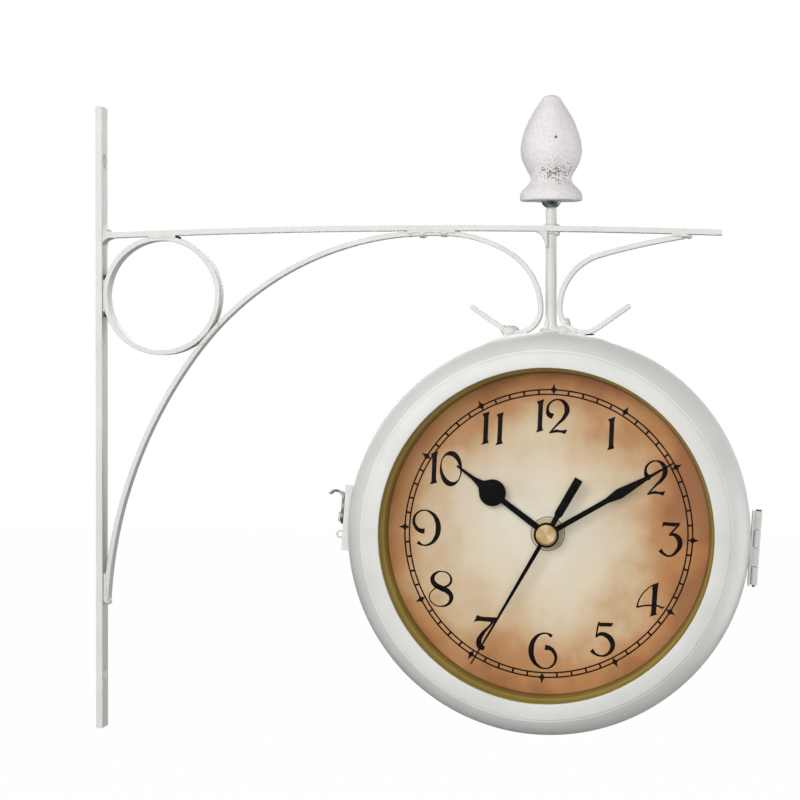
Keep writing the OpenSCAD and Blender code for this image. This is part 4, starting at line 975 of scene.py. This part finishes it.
def figure(strokes, plates, name, centre):
    """Draws one figure about its centre; the 6 is the 9 turned over."""
    if name == "0":
        place = Matrix.Translation(centre)
        plate(plates, list(oval(NOUGHT_OUT, 0)), place)
        plate(plates, list(oval(NOUGHT_IN, NOUGHT_LEAN)), place)
        return
    turned_over = name == "6"
    drawn = FIGURES["9" if turned_over else name]
    wide, high = drawn["size"]
    turn = Matrix.Rotation(math.pi if turned_over else 0, 4, "Z")
    place = Matrix.Translation(centre) @ turn @ Matrix.Translation((-wide / 2, -high / 2, 0))
    for points in drawn.get("strokes", []):
        pen(strokes, points, place)
    for points in drawn.get("loops", []):
        pen(strokes, points, place, closed=True)
    for corners in drawn.get("plates", []):
        plate(plates, corners, place)


def dial_print(side):
    """Numerals, minute track and hour marks of one dial."""
    pens, strokes = new_curve(side + "_numeral_strokes", "3D")
    strokes.bevel_depth = MM
    strokes.bevel_resolution = 0
    strokes.use_fill_caps = True
    strokes.twist_mode = "Z_UP"
    flats, plates = new_curve(side + "_numeral_plates", "2D")
    plates.fill_mode = "BOTH"
    plates.extrude = INK_LIFT * MM / 2
    for hour, figures in enumerate(NUMERALS):
        angle = math.radians(30 * hour)
        out = NUMERAL_R - NUMERAL_DRIFT * math.cos(2 * angle)
        for name, aside in figures:
            figure(strokes, plates, name, Vector((out * math.sin(angle) + aside, out * math.cos(angle), 0)))
        plate(plates, STAR, Matrix.Rotation(-angle, 4, "Z") @ Matrix.Translation((0, TRACK_OUT, 0)))
    for minute in range(60):
        if minute % 5:
            turn = Matrix.Rotation(math.tau * minute / 60, 4, "Z")
            pen(strokes, [(0, TRACK_IN, TICK), (0, TRACK_OUT, TICK)], turn)
    height = DIAL_TOP + INK_LIFT
    pieces = [as_mesh(pens, height, STROKE_PRESS), as_mesh(flats, height)]
    for name, r in (("inner", TRACK_IN), ("outer", TRACK_OUT)):
        band = [(r - TRACK_LINE / 2, DIAL_TOP), (r + TRACK_LINE / 2, DIAL_TOP),
                (r + TRACK_LINE / 2, height), (r - TRACK_LINE / 2, height)]
        pieces.append(turned(f"{side}_track_{name}", band))
    for piece in pieces:
        placed(piece, SIDES[side] @ Matrix.Rotation(-math.radians(DIAL_TURN), 4, "Z"))
        dressed(piece, INK, "hand_black", body_of(side + "_dial"))


RING_SECTION = [
    (RING_FOOT_R, DIAL_TOP), (OPENING_R, GLASS_BACK), (GLASS_R, GLASS_BACK),
    (GLASS_R, GLASS_BACK - RING_RIM), (OPENING_R + RING_WALL, GLASS_BACK - RING_RIM),
    (RING_FOOT_R + RING_WALL, DIAL_TOP + RING_RIM), (DIAL_R, DIAL_TOP + RING_RIM), (DIAL_R, DIAL_TOP),
]

# Each side of the clock: glass, ring, dial, hands and movement
for side in ("front", "rear"):
    eased(side + "_glass", 0.25, GLASS, "glass")
    ring = turned(side + "_spacer_ring_turned", RING_SECTION, edge=0.2)
    dressed(placed(ring, SIDES[side]), GILT, "gilt", body_of(side + "_dial"), side + "_spacer_ring")
    eased(side + "_dial", 0.15, PAPER, "dial_card")
    dial_print(side)
    eased(side + "_shaft_nut", 0.2, WASHER, "brass", segments=3)
    for part in ("hour_hand", "minute_hand", "second_hand"):
        eased(f"{side}_{part}", 0.12, LACQUER, "hand_black")
    eased(side + "_hand_cap", 0.25, CAP, "brass", segments=3)
    eased(side + "_movement_case", 0.6, BLACK, "black_moulding", segments=3)
    eased(side + "_movement_cover", 0.3, BLACK, "black_moulding")
    eased(side + "_set_knob", 0.15, WHITE, "white_moulding")
    eased(side + "_battery", 0.4, JACKET, "cell_jacket", segments=3)
    for part, finish in (("battery_contacts", STEEL), ("circuit_board", BOARD), ("step_motor", WINDING),
                         ("second_wheel", BRASS), ("third_wheel", BRASS), ("centre_wheel", BRASS),
                         ("cannon_pinion", BRASS), ("hour_wheel", WHITE)):
        inner = frame["nodes"][f"{side}_{part}"]
        inner.data.materials.clear()
        inner.data.materials.append(finish)


# Studio: pale floor, white backdrop, soft lamps


def backdrop_ray(tree):
    """1 for rays that should see the white backdrop: camera, glossy and transmission rays."""
    path = node(tree, "LightPath")
    seen = node(tree, "Math", {0: path.outputs["Is Camera Ray"], 1: path.outputs["Is Glossy Ray"]},
                operation="MAXIMUM")
    return node(tree, "Math", {0: seen.outputs["Value"], 1: path.outputs["Is Transmission Ray"]},
                operation="MAXIMUM").outputs["Value"]


def studio():
    """White surroundings that light the object softly, a pale floor under it, and the lamps."""
    world = bpy.data.worlds.new("studio")
    bpy.context.scene.world = world
    world.use_nodes = True
    tree = world.node_tree
    tree.nodes.clear()
    soft = node(tree, "Background", values={"Color": linear("#FFFFFF"), "Strength": SOFT_WORLD})
    white = node(tree, "Background", values={"Color": linear("#FFFFFF"), "Strength": 1.0})
    both = node(tree, "MixShader", {0: backdrop_ray(tree), 1: soft.outputs[0], 2: white.outputs[0]})
    node(tree, "OutputWorld", {"Surface": both.outputs[0]})

    bpy.ops.object.select_all(action="DESELECT")
    bpy.ops.mesh.primitive_plane_add(size=FLOOR_WIDTH, location=(0, 0, FLOOR_Z))
    floor = bpy.context.active_object
    floor.name = "floor"
    pale = bpy.data.materials.new("pale_floor")
    pale.use_nodes = True
    tree = pale.node_tree
    tree.nodes.clear()
    matt = node(tree, "BsdfDiffuse", values={"Color": linear("#9A9A9A")})
    lift = node(tree, "Math", {0: node(tree, "LightPath").outputs["Is Camera Ray"]}, {1: FLOOR_GLOW},
                operation="MULTIPLY")
    glow = node(tree, "Emission", {"Strength": lift.outputs["Value"]}, {"Color": linear("#FFFFFF")})
    both = node(tree, "AddShader", {0: matt.outputs[0], 1: glow.outputs[0]})
    node(tree, "OutputMaterial", {"Surface": both.outputs[0]})
    floor.data.materials.append(pale)

    for name, place, width, power in LAMPS:
        lamp = bpy.data.lights.new(name, "AREA")
        lamp.shape = "DISK"
        lamp.size = width
        lamp.energy = power
        light = bpy.data.objects.new(name, lamp)
        light.location = place
        # Seen in the glass, the front lamp would grey the black print and hands
        light.visible_glossy = name != "front"
        light.rotation_euler = (Vector(LAMPS_AIM) - Vector(place)).to_track_quat("-Z", "Y").to_euler()
        bpy.context.scene.collection.objects.link(light)


def camera():
    """A long lens at the photograph's angle, aimed at a point in the bracket's plane."""
    yaw, pitch, roll = (math.radians(a) for a in (CAMERA_YAW, CAMERA_PITCH, CAMERA_ROLL))
    ahead = Vector((-math.sin(yaw) * math.cos(pitch), math.cos(yaw) * math.cos(pitch), math.sin(pitch)))
    lens = bpy.data.cameras.new("camera")
    lens.sensor_width = SENSOR_MM
    lens.lens = FOCAL_PX / IMAGE_PX * SENSOR_MM
    lens.clip_start = 0.05
    lens.clip_end = 100
    eye = bpy.data.objects.new("camera", lens)
    eye.rotation_mode = "QUATERNION"
    eye.rotation_quaternion = ahead.to_track_quat("-Z", "Y") @ Euler((0, 0, -roll)).to_quaternion()
    eye.location = Vector(CAMERA_AIM) * MM - ahead * CAMERA_DISTANCE * MM
    bpy.context.scene.collection.objects.link(eye)
    bpy.context.scene.camera = eye


studio()
camera()
bpy.context.scene.view_settings.view_transform = "Standard"


def corners(box):
    return [list(corner) for corner in box]
